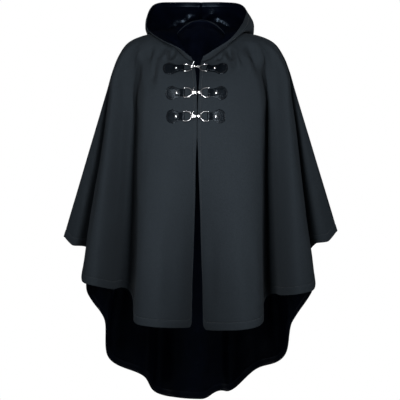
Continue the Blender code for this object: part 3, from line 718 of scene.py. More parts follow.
def quads(index):
    """The faces of a net whose points have these numbers."""
    a, b, c, d = index[:-1, :-1], index[1:, :-1], index[1:, 1:], index[:-1, 1:]
    return np.stack([a, b, c, d], axis=-1).reshape(-1, 4)


def tube_faces(base, rings, sides, closed=False):
    """Faces that join loops of points in order, with both ends capped unless the tube closes on itself."""
    faces = []
    for ring in range(rings if closed else rings - 1):
        low, high = base + ring * sides, base + (ring + 1) % rings * sides
        for k in range(sides):
            j = (k + 1) % sides
            faces.append((low + k, low + j, high + j, high + k))
    if not closed:
        faces.append(tuple(range(base, base + sides))[::-1])
        faces.append(tuple(range(base + (rings - 1) * sides, base + rings * sides)))
    return faces


def mesh_object(name, points, faces, material, smooth=True):
    data = bpy.data.meshes.new(name)
    data.from_pydata(points.tolist() if hasattr(points, "tolist") else points, [], faces)
    data.update()
    made = bpy.data.objects.new(name, data)
    bpy.context.scene.collection.objects.link(made)
    data.materials.append(material)
    if smooth:
        data.shade_smooth()
    return made


def shell(name, outer, inner, material):
    """A closed shell between two nets, with a rounded rim."""
    columns, rows = outer.shape[:2]
    count = columns * rows
    index = np.arange(count).reshape(columns, rows)
    front = quads(index)
    rim = [(i, 0) for i in range(columns)] + [(columns - 1, j) for j in range(1, rows)]
    rim += [(i, rows - 1) for i in range(columns - 2, -1, -1)] + [(0, j) for j in range(rows - 2, 0, -1)]
    rim = np.array(rim)
    inward = np.clip(rim, (1, 1), (columns - 2, rows - 2))
    edge, before = outer[rim[:, 0], rim[:, 1]], outer[inward[:, 0], inward[:, 1]]
    under = inner[rim[:, 0], rim[:, 1]]
    middle = (edge + under) / 2
    out = unit(edge - before)
    across = unit(edge - under)
    out = unit(out - across * (out * across).sum(axis=1, keepdims=True))
    middle = middle + out * np.linalg.norm(edge - under, axis=1, keepdims=True) * 0.30
    points = np.concatenate([outer.reshape(-1, 3), inner.reshape(-1, 3), middle])
    here = index[rim[:, 0], rim[:, 1]]
    after = np.roll(here, -1)
    mid = 2 * count + np.arange(len(rim))
    mid_after = np.roll(mid, -1)
    first = np.stack([after, here, mid, mid_after], axis=1)
    second = np.stack([mid_after, mid, here + count, after + count], axis=1)
    faces = np.concatenate([front, front[:, ::-1] + count, first, second])
    corners = points[faces]
    centre = points.mean(axis=0)
    spans = np.cross(corners[:, 2] - corners[:, 0], corners[:, 3] - corners[:, 1])
    if ((corners.mean(axis=1) - centre) * spans).sum() < 0:
        faces = faces[:, ::-1]
    return mesh_object(name, points, faces.tolist(), material)


SPINDLE = (
    # share of the stitch's length from its middle, size, lift
    (-0.5, 0.15, -0.6),
    (-0.36, 0.9, 0.1),
    (0.0, 1.15, 0.45),
    (0.36, 0.9, 0.1),
    (0.5, 0.15, -0.6),
)


def stitches(name, runs, material, pitch=STITCH_PITCH, length=STITCH_LENGTH, radius=THREAD, sides=6):
    """Small spindle stitches along lines of points with their normals, each lying half in the cloth."""
    points, faces = [], []
    for line, normals in runs:
        lengths = lengths_along(line)
        if lengths[-1] < pitch:
            continue
        middles = np.arange(pitch / 2, lengths[-1] - pitch / 2, pitch)
        start, end = (read_at(middles + half, lengths, line) for half in (-length / 2, length / 2))
        centre, up = read_at(middles, lengths, line), unit(read_at(middles, lengths, normals))
        run = unit(end - start)
        across = unit(np.cross(run, up))
        up = np.cross(across, run)
        for p, r, c, u in zip(centre, run, across, up):
            base = len(points)
            for place, size, lift in SPINDLE:
                middle = p + r * place * length + u * lift * radius
                for x, y in circle(sides):
                    points.append(middle + c * x * radius * size * 1.25 + u * y * radius * size)
            faces += tube_faces(base, len(SPINDLE), sides)
    return mesh_object(name, np.array(points), faces, material)


def line_at(points, normals, distance, at, axis):
    """The line of a net at a set distance, where it has a column or row there."""
    k = int(np.argmin(np.abs(distance.ravel() - at)))
    return (points[k], normals[k]) if axis == 0 else (points[:, k], normals[:, k])


# Materials


def nodes_of(name, colour, roughness, metallic=0.0, **sockets):
    made = bpy.data.materials.new(name)
    made.use_nodes = True
    tree = made.node_tree
    shader = tree.nodes["Principled BSDF"]
    shader.inputs["Base Color"].default_value = (*colour, 1)
    shader.inputs["Roughness"].default_value = roughness
    shader.inputs["Metallic"].default_value = metallic
    for socket, value in sockets.items():
        shader.inputs[socket.replace("_", " ")].default_value = value
    place = tree.nodes.new("ShaderNodeTexCoord").outputs["Object"]
    return made, tree, shader, place


def noise_node(tree, place, scale, detail=4.0, rough=0.55, stretch=None):
    texture = tree.nodes.new("ShaderNodeTexNoise")
    texture.inputs["Scale"].default_value = scale
    texture.inputs["Detail"].default_value = detail
    texture.inputs["Roughness"].default_value = rough
    if stretch:
        mapping = tree.nodes.new("ShaderNodeMapping")
        mapping.inputs["Scale"].default_value = stretch
        tree.links.new(place, mapping.inputs["Vector"])
        place = mapping.outputs["Vector"]
    tree.links.new(place, texture.inputs["Vector"])
    return texture.outputs["Fac"]


def ramp_node(tree, fac, stops):
    ramp = tree.nodes.new("ShaderNodeValToRGB")
    ramp.color_ramp.elements[0].position = stops[0][0]
    ramp.color_ramp.elements[0].color = (*stops[0][1], 1)
    ramp.color_ramp.elements[1].position = stops[-1][0]
    ramp.color_ramp.elements[1].color = (*stops[-1][1], 1)
    for position, colour in stops[1:-1]:
        ramp.color_ramp.elements.new(position).color = (*colour, 1)
    tree.links.new(fac, ramp.inputs["Fac"])
    return ramp.outputs["Color"]


def multiply_node(tree, first, second, fac):
    mix = tree.nodes.new("ShaderNodeMix")
    mix.data_type = "RGBA"
    mix.blend_type = "MULTIPLY"
    mix.inputs[0].default_value = fac
    tree.links.new(first, mix.inputs[6])
    tree.links.new(second, mix.inputs[7])
    return mix.outputs[2]


def bump_node(tree, shader, heights):
    """Bumps one on the other: (height output, strength, distance)."""
    last = None
    for height, strength, distance in heights:
        bump = tree.nodes.new("ShaderNodeBump")
        bump.inputs["Strength"].default_value = strength
        bump.inputs["Distance"].default_value = distance
        tree.links.new(height, bump.inputs["Height"])
        if last:
            tree.links.new(last, bump.inputs["Normal"])
        last = bump.outputs["Normal"]
    tree.links.new(last, shader.inputs["Normal"])


def range_node(tree, value, low, high):
    found = tree.nodes.new("ShaderNodeMapRange")
    found.inputs["To Min"].default_value = low
    found.inputs["To Max"].default_value = high
    tree.links.new(value, found.inputs["Value"])
    return found.outputs["Result"]


WOOL_DARK = (0.0178, 0.0231, 0.0281)
WOOL = (0.0195, 0.0252, 0.0307)
WOOL_LIGHT = (0.0213, 0.0274, 0.0333)


def wool_material():
    """A short felted wool coating: mottled, with a nap that lies down the cloth."""
    made, tree, shader, place = nodes_of(
        "wool_coating", WOOL, 0.95, Specular_IOR_Level=0.08, Sheen_Weight=0.03, Sheen_Roughness=0.45,
        Sheen_Tint=(0.55, 0.62, 0.70, 1),
    )
    mottle = noise_node(tree, place, 190, 5, 0.6)
    base = ramp_node(tree, mottle, ((0.30, WOOL_DARK), (0.52, WOOL), (0.74, WOOL_LIGHT)))
    patches = noise_node(tree, place, 5.5, 3)
    broad = ramp_node(tree, patches, ((0.35, (0.965, 0.965, 0.970)), (0.65, (1, 1, 1))))
    nap = noise_node(tree, place, 900, 3, 0.5, stretch=(1, 1, 0.35))
    fleck = ramp_node(tree, nap, ((0.40, (0.80, 0.80, 0.82)), (0.62, (1, 1, 1))))
    tinted = multiply_node(tree, multiply_node(tree, base, broad, 1.0), fleck, 0.8)
    tree.links.new(tinted, shader.inputs["Base Color"])
    tree.links.new(range_node(tree, mottle, 0.88, 1.0), shader.inputs["Roughness"])
    bump_node(tree, shader, ((nap, 0.35, 0.0006), (noise_node(tree, place, 260, 3), 0.22, 0.0012)))
    return made


def satin_material(name, gloss, roughness):
    """Near-black satin: fine lines along the warp and soft unevenness in the gloss."""
    made, tree, shader, place = nodes_of(
        name, (0.0008, 0.0016, 0.0046), roughness, Specular_IOR_Level=gloss, Anisotropic=0.35,
        Specular_Tint=(0.55, 0.75, 1.0, 1),
    )
    warp = noise_node(tree, place, 700, 2, 0.5, stretch=(1, 1, 0.06))
    mottle = noise_node(tree, place, 30, 4)
    base = ramp_node(tree, mottle, ((0.35, (0.0006, 0.0012, 0.0036)), (0.70, (0.0012, 0.0021, 0.0062))))
    tree.links.new(base, shader.inputs["Base Color"])
    tree.links.new(range_node(tree, mottle, roughness - 0.06, roughness + 0.06), shader.inputs["Roughness"])
    bump_node(tree, shader, ((warp, 0.12, 0.0004), (noise_node(tree, place, 55, 3), 0.12, 0.0030)))
    return made


def leather_material():
    """Polished black leather: a fine pebble grain and slight creases."""
    made, tree, shader, place = nodes_of(
        "black_leather", (0.0020, 0.0030, 0.0045), 0.20, Specular_IOR_Level=0.18,
        Specular_Tint=(0.72, 0.86, 1.0, 1),
    )
    cells = tree.nodes.new("ShaderNodeTexVoronoi")
    cells.feature = "SMOOTH_F1"
    cells.inputs["Scale"].default_value = 1150
    tree.links.new(place, cells.inputs["Vector"])
    mottle = noise_node(tree, place, 95, 4)
    base = ramp_node(tree, mottle, ((0.35, (0.0018, 0.0027, 0.0041)), (0.70, (0.0036, 0.0052, 0.0074))))
    tree.links.new(base, shader.inputs["Base Color"])
    tree.links.new(range_node(tree, mottle, 0.13, 0.24), shader.inputs["Roughness"])
    bump_node(tree, shader, ((cells.outputs["Distance"], 0.20, 0.0003), (mottle, 0.18, 0.0010)))
    return made


def metal_material():
    """Bright nickel plate with fine wear."""
    made, tree, shader, place = nodes_of("nickel_plate", (0.80, 0.80, 0.81), 0.16, 1.0)
    wear = noise_node(tree, place, 340, 5, 0.65)
    base = ramp_node(tree, wear, ((0.30, (0.50, 0.50, 0.52)), (0.60, (0.66, 0.66, 0.68))))
    tree.links.new(base, shader.inputs["Base Color"])
    tree.links.new(range_node(tree, wear, 0.10, 0.26), shader.inputs["Roughness"])
    bump_node(tree, shader, ((noise_node(tree, place, 900, 2), 0.05, 0.0002),))
    return made


def thread_material(name, colour):
    """Twisted thread with a slight gloss."""
    made, tree, shader, place = nodes_of(name, colour, 0.6, Specular_IOR_Level=0.3, Sheen_Weight=0.15)
    twist = noise_node(tree, place, 2600, 2)
    low, high = tuple(0.75 * c for c in colour), tuple(1.2 * c for c in colour)
    tree.links.new(ramp_node(tree, twist, ((0.35, low), (0.65, high))), shader.inputs["Base Color"])
    bump_node(tree, shader, ((twist, 0.3, 0.0002),))
    return made


def floor_material():
    made, tree, shader, place = nodes_of("studio_floor", (0.80, 0.80, 0.80), 0.7)
    patches = noise_node(tree, place, 3, 3)
    fine = ramp_node(tree, patches, ((0.3, (0.79, 0.79, 0.79)), (0.7, (0.82, 0.82, 0.82))))
    tree.links.new(fine, shader.inputs["Base Color"])
    return made


wool = wool_material()
satin = satin_material("black_satin", 0.16, 0.24)
back_cloth = satin_material("dull_black_satin", 0.05, 0.45)
leather = leather_material()
metal = metal_material()
thread = thread_material("charcoal_thread", (0.019, 0.022, 0.025))
leather_thread = thread_material("black_thread", (0.012, 0.012, 0.014))


def settle(piece, slot, *nodes):
    """The piece rides on the one body and stands for these solids; its slot is not used."""
    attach(piece, "root")
    if nodes:
        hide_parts(*nodes)
    return piece


# Cape


# How far the cloth is turned in at the hem and at the front edge, and what that adds to its thickness
HEM_TURNED = 0.030
EDGE_TURNED = 0.0125
TURNED_CLOTH = 0.0009


def build_front(side, word):
    outer, normals, from_edge, from_hem = front_net(side)
    at_hem = smooth_step((HEM_TURNED - from_hem) / 0.006)
    at_edge = smooth_step((EDGE_TURNED - from_edge) / 0.004)
    inner = outer - normals * (CLOTH + TURNED_CLOTH * np.maximum(at_hem, at_edge))[..., None]
    piece = settle(shell(f"front_panel_{word}", outer, inner, wool), "cloth", f"front_{word}")
    edge_line, edge_normals = line_at(outer, normals, from_edge, FRONT_STITCH, 0)
    hem_points, hem_normals = line_at(outer, normals, from_hem, HEM_STITCH, 1)
    low = outer.shape[1] - len(NEAR_HEM) + int(np.argmin(np.abs(NEAR_HEM[::-1] - HEM_STITCH)))
    first = int(np.argmin(np.abs(NEAR_EDGE - FRONT_STITCH)))
    edge_run = (edge_line[1 : low + 1], edge_normals[1 : low + 1])
    hem_run = (hem_points[first:-2], hem_normals[first:-2])
    sewn = settle(stitches(f"front_stitches_{word}", [edge_run, hem_run], thread), "cloth")
    return piece, sewn, outer


def build_back():
    outer, normals, downs = back_net()
    rows = outer.shape[1]
    from_hem = distances(NEAR_HEM, rows, from_end=True)[None, :]
    doubled = smooth_step((0.0030 - from_hem) / 0.002)
    inner = outer - normals * (CLOTH + 0.0002 * doubled)[..., None]
    piece = settle(shell("back_panel", outer, inner, wool), "cloth", "back")
    points, hem_normals = line_at(outer, normals, from_hem, HEM_STITCH, 1)
    sewn = settle(stitches("back_hem_stitches", [(points[2:-2], hem_normals[2:-2])], thread), "cloth")
    return piece, sewn, outer, normals, downs


ROWS_SHORT_OF_HEM = 3


def build_back_lining(outer, normals, downs):
    """The satin inside the back, a little short of the hem, fuller than the cloth and so rippled."""
    points, out, down = (net[:, :-ROWS_SHORT_OF_HEM] for net in (outer, normals, downs))
    fullness = 0.0010 + ripple(points, 0.030, 0.0012, 41) + ripple(points * (1, 1, 0.25), 0.022, 0.0014, 43)
    fullness = np.clip(fullness, 0, 0.0042) * smooth_step(down / 0.03) * smooth_step((1 - down) / 0.02 + 0.1)
    skin = points - out * (CLOTH + LINING_GAP + 0.0003 + fullness)[..., None]
    piece = shell("back_satin", skin, skin - out * LINING * 0.8, back_cloth)
    return settle(piece, "satin", "back_lining")


# Hood


def tree_of(nets):
    points, faces = [], []
    for net, flip in nets:
        first, (count, across) = len(points), net.shape[:2]
        points += [Vector(p) for p in net.reshape(-1, 3)]
        net_faces = quads(first + np.arange(count * across).reshape(count, across))
        faces += (net_faces[:, ::-1] if flip else net_faces).tolist()
    return BVHTree.FromPolygons(points, faces)


def blurred(values, times):
    for _ in range(times):
        padded = np.pad(values, 1, mode="edge")
        beside = padded[:-2, 1:-1] + padded[2:, 1:-1] + padded[1:-1, :-2] + padded[1:-1, 2:]
        values = (beside + 2 * values) / 6
    return values


def keep_clear(points, along, tree, lift, start):
    """Lifts the hood off the cape where it is too near, with blurred lifts that leave no kinks."""
    shape = points.shape[:2]
    short = np.zeros(shape)
    up = np.zeros(points.shape)
    for i in range(shape[0]):
        for j in range(shape[1]):
            point = Vector(points[i, j])
            nearest, normal, _, far = tree.find_nearest(point)
            up[i, j] = normal
            if far < NEAR_CAPE:
                need = start + (lift - start) * min(along[i, j] / 0.05, 1)
                short[i, j] = max(0.0, need - (point - nearest).dot(normal))
    smooth = np.maximum(short, blurred(short, 6))
    for axis in range(3):
        up[..., axis] = blurred(up[..., axis], 4)
    return points + unit(up) * smooth[..., None]


HOOD_COLUMNS = 92
HOOD_MIDDLE_ROWS = 58
HOOD_HOLLOW = np.array((0, 0.02, 0.02))


def hood_net(side, tree):
    last = len(HOOD[side]) - 1
    ribs = np.concatenate([(0, 0.02, 0.05, 0.10), np.linspace(0.17, last, HOOD_COLUMNS)])
    coarse = hood(side, ribs[:, None], np.linspace(0, 1, 40)[None, :])
    length = np.linalg.norm(np.diff(coarse, axis=1), axis=2).sum(axis=1)
    closest = np.linspace(0, 0.62, len(NEAR_RIM)) ** 1.2
    near = np.minimum(NEAR_RIM[None, :], length[:, None] * closest[None, :])
    end = 1 - near[:, ::-1] / length[:, None]
    share = np.linspace(0, 1, HOOD_MIDDLE_ROWS)
    along = np.concatenate([end[:, :1] * share, end[:, 1:]], axis=1)
    points = np.stack([hood(side, rib, line) for rib, line in zip(ribs, along)])
    points = keep_clear(points, along, tree, HOOD_LIFT, SEAM_GAP)
    points[-1, :, 0] = 0
    normals = net_normals(points)
    upper = len(ribs) * 3 // 4, along.shape[1] * 2 // 3
    if normals[upper] @ (points[upper] - HOOD_HOLLOW) < 0:
        normals = -normals
    normals[-1, :, 0] = 0
    normals = unit(normals)
    from_rim = np.concatenate([np.ones((len(ribs), HOOD_MIDDLE_ROWS - 1)), near[:, ::-1]], axis=1)
    creases = crease_offset(points, crease_paths(hood, side, HOOD_CREASES[side]))
    offset = creases + rippled(points, "hood", side)
    offset = offset * smooth_step(along / 0.25) * smooth_step((1 - along) / 0.10)
    offset = np.maximum(offset, -0.0012)
    offset = offset + groove(from_rim, RIM_STITCH) + seam_line(np.abs(points[..., 0]))
    outer = points + normals * offset[..., None]
    outer[-1, :, 0] = 0
    return outer, normals, along


# The most that puckers rise, and how much more they may nearer the rim
PUCKER_LIMIT = 0.0065
MORE_NEAR_RIM = 0.0025


def hood_lining(side, outer, normals, along):
    """Points inside the hood for its satin, raised in puckers along the neck seam."""
    skin = outer - normals * (CLOTH + LINING_GAP)
    paths = [(line, width, -height) for line, width, height in crease_paths(hood, side, PUCKERS[side])]
    raised = crease_offset(skin, paths, sharp=True)
    raised += np.clip(ripple(skin, 0.016, 0.0012, 61 + side), 0, 1) * smooth_step((0.5 - along) / 0.4)
    raised += np.clip(ripple(skin, 0.045, 0.0016, 67 + side), 0, 1)
    raised = np.clip(raised, 0, PUCKER_LIMIT + MORE_NEAR_RIM * smooth_step((along - 0.6) / 0.1))
    raised *= smooth_step(along / 0.04 + 0.15) * smooth_step((1 - along) / 0.08)
    raised[-1] = 0.5 * raised[-2]
    skin = skin - normals * raised[..., None]
    skin[-1, :, 0] = 0
    return skin


def build_hood(tree):
    made = []
    for side, word in SIDES:
        outer, normals, along = hood_net(side, tree)
        cloth = shell(f"hood_panel_{word}", outer, outer - normals * CLOTH, wool)
        settle(cloth, "cloth", f"hood_{word}")
        row = outer.shape[1] - 1 - list(NEAR_RIM).index(RIM_STITCH)
        line, out = outer[8:-2, row], normals[8:-2, row]
        sewn = settle(stitches(f"hood_stitches_{word}", [(line, out)], thread), "cloth")
        skin = hood_lining(side, outer, normals, along)[3:]
        node = f"hood_{word}_lining"
        inside = skin - normals[3:] * LINING * 0.8
        lining = settle(shell(f"hood_satin_{word}", inside, skin, satin), "satin", node)
        made.append((cloth, sewn, lining))
    return made


BINDING_FROM = 1.7
BINDING_HALF_WIDTH = 0.0052
BINDING_HALF_THICK = 0.0029


def build_binding():
    """A satin binding round the back of the neck seam, over the edges of the cloth and the linings."""
    halves = []
    for side in (-1, 1):
        along = np.linspace(BINDING_FROM, CENTRE_BACK, 110)
        edge = cape(side, along, 0 * along)
        down = unit(cape(side, along, 0 * along + 0.03) - edge)
        middle = edge + down * 0.0012 - cape_normals(side, along, 0 * along) * CLOTH / 2
        halves.append((middle, down))
    middle = np.concatenate([halves[0][0], halves[1][0][-2::-1]])
    down = np.concatenate([halves[0][1], halves[1][1][-2::-1]])
    share = np.linspace(0, 1, len(middle))
    taper = smooth_step(np.minimum(share, 1 - share) / 0.06) * 0.75 + 0.25
    folds = 1 + 0.10 * np.array([noise.noise(Vector(p) / 0.011) for p in middle])
    sizes = np.stack([BINDING_HALF_WIDTH * taper * folds, BINDING_HALF_THICK * taper * folds], axis=1)
    return settle(loft("neck_binding", ovals(middle, down, sizes, 18), back_cloth), "satin")


# Clasps


class Surface:
    """The cloth under a clasp's tab: points are placed along it, across it and above it."""

    def __init__(self, tree, x, z, towards):
        self.tree = tree
        back = Vector((0, 1, 0))
        bar = self.drop(Vector((x, 0, z)), back)
        out = self.drop(Vector((x - towards * TAB_MIDDLE, 0, z)), back)
        above = self.drop(Vector((x, 0, z + LOOP_HALF_WIDTH)), back)
        below = self.drop(Vector((x, 0, z - LOOP_HALF_WIDTH)), back)
        self.along = (bar - out).normalized()
        self.up = (above - below).normalized()
        self.normal = self.along.cross(self.up) * towards
        self.normal.normalize()
        self.up = self.normal.cross(self.along) * towards
        self.bar = bar
        self.level = max(self.height(0, share * LOOP_HALF_WIDTH) for share in (-1, -0.5, 0, 0.5, 1))

    def drop(self, point, direction):
        start = point - direction * FAR
        found = self.tree.ray_cast(start, direction)[0]
        return found if found else self.tree.find_nearest(point)[0]

    def height(self, along, across):
        """How far the cloth stands above the clasp's plane, at its highest near this point."""
        found = []
        for a, b in ((0, 0), (NEARBY, 0), (-NEARBY, 0), (0, NEARBY), (0, -NEARBY)):
            point = self.bar + self.along * (along + a) + self.up * (across + b)
            found.append((self.drop(point, -self.normal) - point).dot(self.normal))
        return max(found)

    def place(self, along, across, above):
        flat = min(max(1 + along / FLAT_FROM, 0), 1)
        rise = self.height(along, across) if flat < 1 else 0
        level = rise + (self.level - rise) * flat
        return self.bar + self.along * along + self.up * across + self.normal * (level + above)


def tab_path(length):
    """Where the middle of the leather runs: along, above and half its width, a row for each section."""
    rows = [(-length * (1 - share), ON_CLOTH + LEATHER / 2, half) for share, half in TAB_WIDTHS]
    for degrees in range(-90, 91, 30):
        turn = math.radians(degrees)
        rows.append((LOOP * math.cos(turn), BAR_HEIGHT + LOOP * math.sin(turn), LOOP_HALF_WIDTH))
    return np.array(rows + [(-back, FLAP_HEIGHT + over, half) for back, over, half in FLAP])


TAB_SIDES = np.sin(np.linspace(-1, 1, 17) * math.pi / 2)
TAB_STITCH_IN = 0.0026
TAB_TOP = ON_CLOTH + LEATHER - 0.0002
# The tab's round head, its tail, its rounded edge and the dent along its stitches
TAB_HEAD = 0.0150
HEAD_HALF_WIDTH = 0.0176
HEAD_POWER = 2.2
TAB_TAIL = 0.0030
EDGE_ROUND = 0.0011
DENT_DEPTH = 0.00028
DENT_WIDTH = 0.0008
# Where the stitches run: from and to along the tab, where it is wide enough, and round its head
SEWN_FROM = 0.0072
SEWN_SHORT = 0.0180
SEWN_IF_WIDER = 0.006
SEWN_ROUND_DEG = 78
HEAD_ARC_LONG = 0.0105
HEAD_ARC_WIDE = 0.0126


def build_tab(name, node, surface, length):
    """A leather tab with rounded edges, a stitched outline and its end folded back round the ring's bar."""
    coarse = tab_path(length)
    lengths = lengths_along(coarse[:, :2])
    total = lengths[-1]
    start = np.array((0, 0.0006, 0.0014, 0.0024, 0.0036, 0.0052, 0.0072))
    bend = lengths[len(TAB_WIDTHS)] - 0.002, lengths[len(TAB_WIDTHS) + 7]
    places = np.concatenate([
        start, np.linspace(0.0095, bend[0], 20)[:-1], np.linspace(bend[0], bend[1], 22)[:-1],
        np.linspace(bend[1], total - 0.003, 9), total - start[3::-1],
    ])
    path = through(lengths, coarse, places, level=True)
    head = np.sqrt(np.clip(1 - (1 - np.clip(places / TAB_HEAD, 0, 1)) ** HEAD_POWER, 0, 1))
    rounded = np.maximum(path[:, 2] * 0.35, HEAD_HALF_WIDTH * head)
    path[:, 2] = np.where(places < TAB_HEAD, rounded, path[:, 2])
    tail = np.clip((total - places) / TAB_TAIL, 0, 1)
    path[:, 2] *= 0.80 + 0.20 * np.sqrt(1 - (1 - tail) ** 2)
    run = unit(np.gradient(path[:, :2], axis=0))
    side = np.stack([-run[:, 1], run[:, 0]], axis=1)
    ends = np.minimum(places, total - places)
    nets = [[], []]
    stitch_line = [[], []]
    for (along, above, half), out, end in zip(path, side, ends):
        rows = [[], []]
        for share in TAB_SIDES:
            edge = min(half * (1 - abs(share)), end)
            full = math.sqrt(max(1 - (1 - min(edge / EDGE_ROUND, 1)) ** 2, 0.0)) * 0.5 + 0.5
            thick = LEATHER / 2 * full
            dent = DENT_DEPTH * math.exp(-(((edge - TAB_STITCH_IN) / DENT_WIDTH) ** 2))
            for k, sign in enumerate((-1, 1)):
                lift = sign * (thick - dent)
                point = surface.place(along + out[0] * lift, half * share, above + out[1] * lift)
                rows[k].append(tuple(point))
        for k in range(2):
            nets[k].append(rows[k])
    outer, inner = (np.array(net) for net in nets)
    settle(shell(name, outer, inner, leather), "leather", node)
    lines = []
    for share in (-1, 1):
        rows = []
        for (along, _, half), place in zip(path, places):
            if SEWN_FROM < place < lengths[len(TAB_WIDTHS)] - SEWN_SHORT and half > SEWN_IF_WIDER:
                rows.append(tuple(surface.place(along, share * (half - TAB_STITCH_IN), TAB_TOP)))
        lines.append(rows)
    rows = []
    for turn in np.radians(np.linspace(-SEWN_ROUND_DEG, SEWN_ROUND_DEG, 15)):
        along = -length + TAB_STITCH_IN + HEAD_ARC_LONG * (1 - math.cos(turn))
        rows.append(tuple(surface.place(along, HEAD_ARC_WIDE * math.sin(turn), TAB_TOP)))
    lines.append(rows)
    normal = np.array(tuple(surface.normal))
    runs = [(np.array(rows), np.tile(normal, (len(rows), 1))) for rows in lines if len(rows) > 2]
    sewn = stitches(name + "_stitches", runs, leather_thread, pitch=0.0027, length=0.0020, radius=0.00026)
    settle(sewn, "leather")


def loft(name, sections, material, closed=False):
    """A solid through loops of points, joined in order and capped unless it closes on itself."""
    sections = np.array(sections)
    faces = tube_faces(0, *sections.shape[:2], closed)
    points = sections.reshape(-1, 3)
    centre = points.mean(axis=0)
    total = 0.0
    for face in faces:
        p = points[list(face)]
        total += (p.mean(axis=0) - centre) @ np.cross(p[1] - p[0], p[-1] - p[0])
    if total < 0:
        faces = [face[::-1] for face in faces]
    return mesh_object(name, points, faces, material)


def ovals(points, ups, halves, sides, square=2.0):
    """Oval sections square to a path: half sizes are along the given up and across it."""
    points = np.array([tuple(p) for p in points])
    ups = np.array([tuple(u) for u in ups])
    run = unit(np.gradient(points, axis=0))
    across = unit(np.cross(run, ups))
    ups = unit(np.cross(across, run))
    sections = []
    for p, u, c, (wide, thick) in zip(points, ups, across, halves):
        loop = []
        for x, y in circle(sides):
            x = math.copysign(abs(x) ** (2 / square), x)
            y = math.copysign(abs(y) ** (2 / square), y)
            loop.append(p + u * x * wide + c * y * thick)
        sections.append(loop)
    return sections


def ring_outline(step=9):
    """A D: its straight bar, two rounded corners and a bow, as distances along and across from the bar."""
    high, corner = RING_HALF_HEIGHT, RING_CORNER
    outline = [(0, 0), (0, high / 3), (0, high * 0.6), (0, high - corner)]
    for degrees in range(165, 90, -25):
        turn = math.radians(degrees)
        outline.append((corner + corner * math.cos(turn), high - corner + corner * math.sin(turn)))
    outline.append((corner, high))
    for degrees in range(90, -91, -step):
        turn = math.radians(degrees)
        outline.append((BOW_FROM + (RING_LENGTH - BOW_FROM) * math.cos(turn), high * math.sin(turn)))
    upper = outline[1:8]
    return outline + [(a, -b) for a, b in upper[::-1]]


def build_ring(name, node, surface, apex):
    bar = surface.place(0, 0, BAR_HEIGHT)
    along = (apex - bar).normalized()
    normal = along.cross(surface.up).normalized()
    outline = [bar + along * a + surface.up * b for a, b in ring_outline()]
    sections = []
    count = len(outline)
    for k, point in enumerate(outline):
        run = (outline[(k + 1) % count] - outline[k - 1]).normalized()
        across = run.cross(normal).normalized()
        sections.append([tuple(point + (across * x + normal * y) * WIRE) for x, y in circle(WIRE_SIDES)])
    settle(loft(name, sections, metal, closed=True), "metal", node)
    return bar + along * RING_LENGTH


RIVET_PROFILE = (
    # share of the radius, share of the height
    (1.00, 0.00), (1.00, 0.10), (0.97, 0.20), (0.90, 0.26), (0.84, 0.27), (0.80, 0.34), (0.74, 0.52),
    (0.62, 0.72), (0.46, 0.87), (0.26, 0.96), (0.08, 1.00),
)


def build_rivet(name, node, surface):
    """A cap rivet with a turned rim round its dome."""
    base = surface.place(-RIVET_BACK, 0, FLAP_HEIGHT + LEATHER / 2 + PLAY * 0.5)
    turned = Matrix((surface.along, surface.up, surface.normal)).transposed()
    sections = []
    for wide, high in RIVET_PROFILE:
        reach, rise = wide * RIVET_RADIUS, high * RIVET_HEIGHT
        loop = [Vector((x * reach, y * reach, rise)) for x, y in circle(RIVET_SIDES)]
        sections.append([tuple(base + turned @ point) for point in loop])
    settle(loft(name, sections, metal), "metal", node)


HOOK_LOBES = (
    # share of the way across, half_height, half_depth
    (-0.10, 0.0046, 0.0015),
    (0.02, 0.0064, 0.0021),
    (0.12, 0.0070, 0.0024),
    (0.22, 0.0060, 0.0024),
    (0.30, 0.0044, 0.0021),
    (0.36, 0.0052, 0.0023),
    (0.44, 0.0054, 0.0022),
    (0.50, 0.0026, 0.0018),
    (0.58, 0.0019, 0.0016),
    (0.66, 0.0024, 0.0017),
    (0.72, 0.0046, 0.0022),
    (0.84, 0.0050, 0.0023),
    (0.96, 0.0044, 0.0019),
    (1.06, 0.0034, 0.0015),
)


HOOK_ABOVE = 0.0006
# From and to which turn the hook's ends lie round the rings, and the turn past which its body is seen edge on
WRAP_FROM_DEG, WRAP_TO_DEG = 78, 296
EDGE_ON_DEG = 45
COLLAR_AT = 0.585
LEVER_STEPS = 12


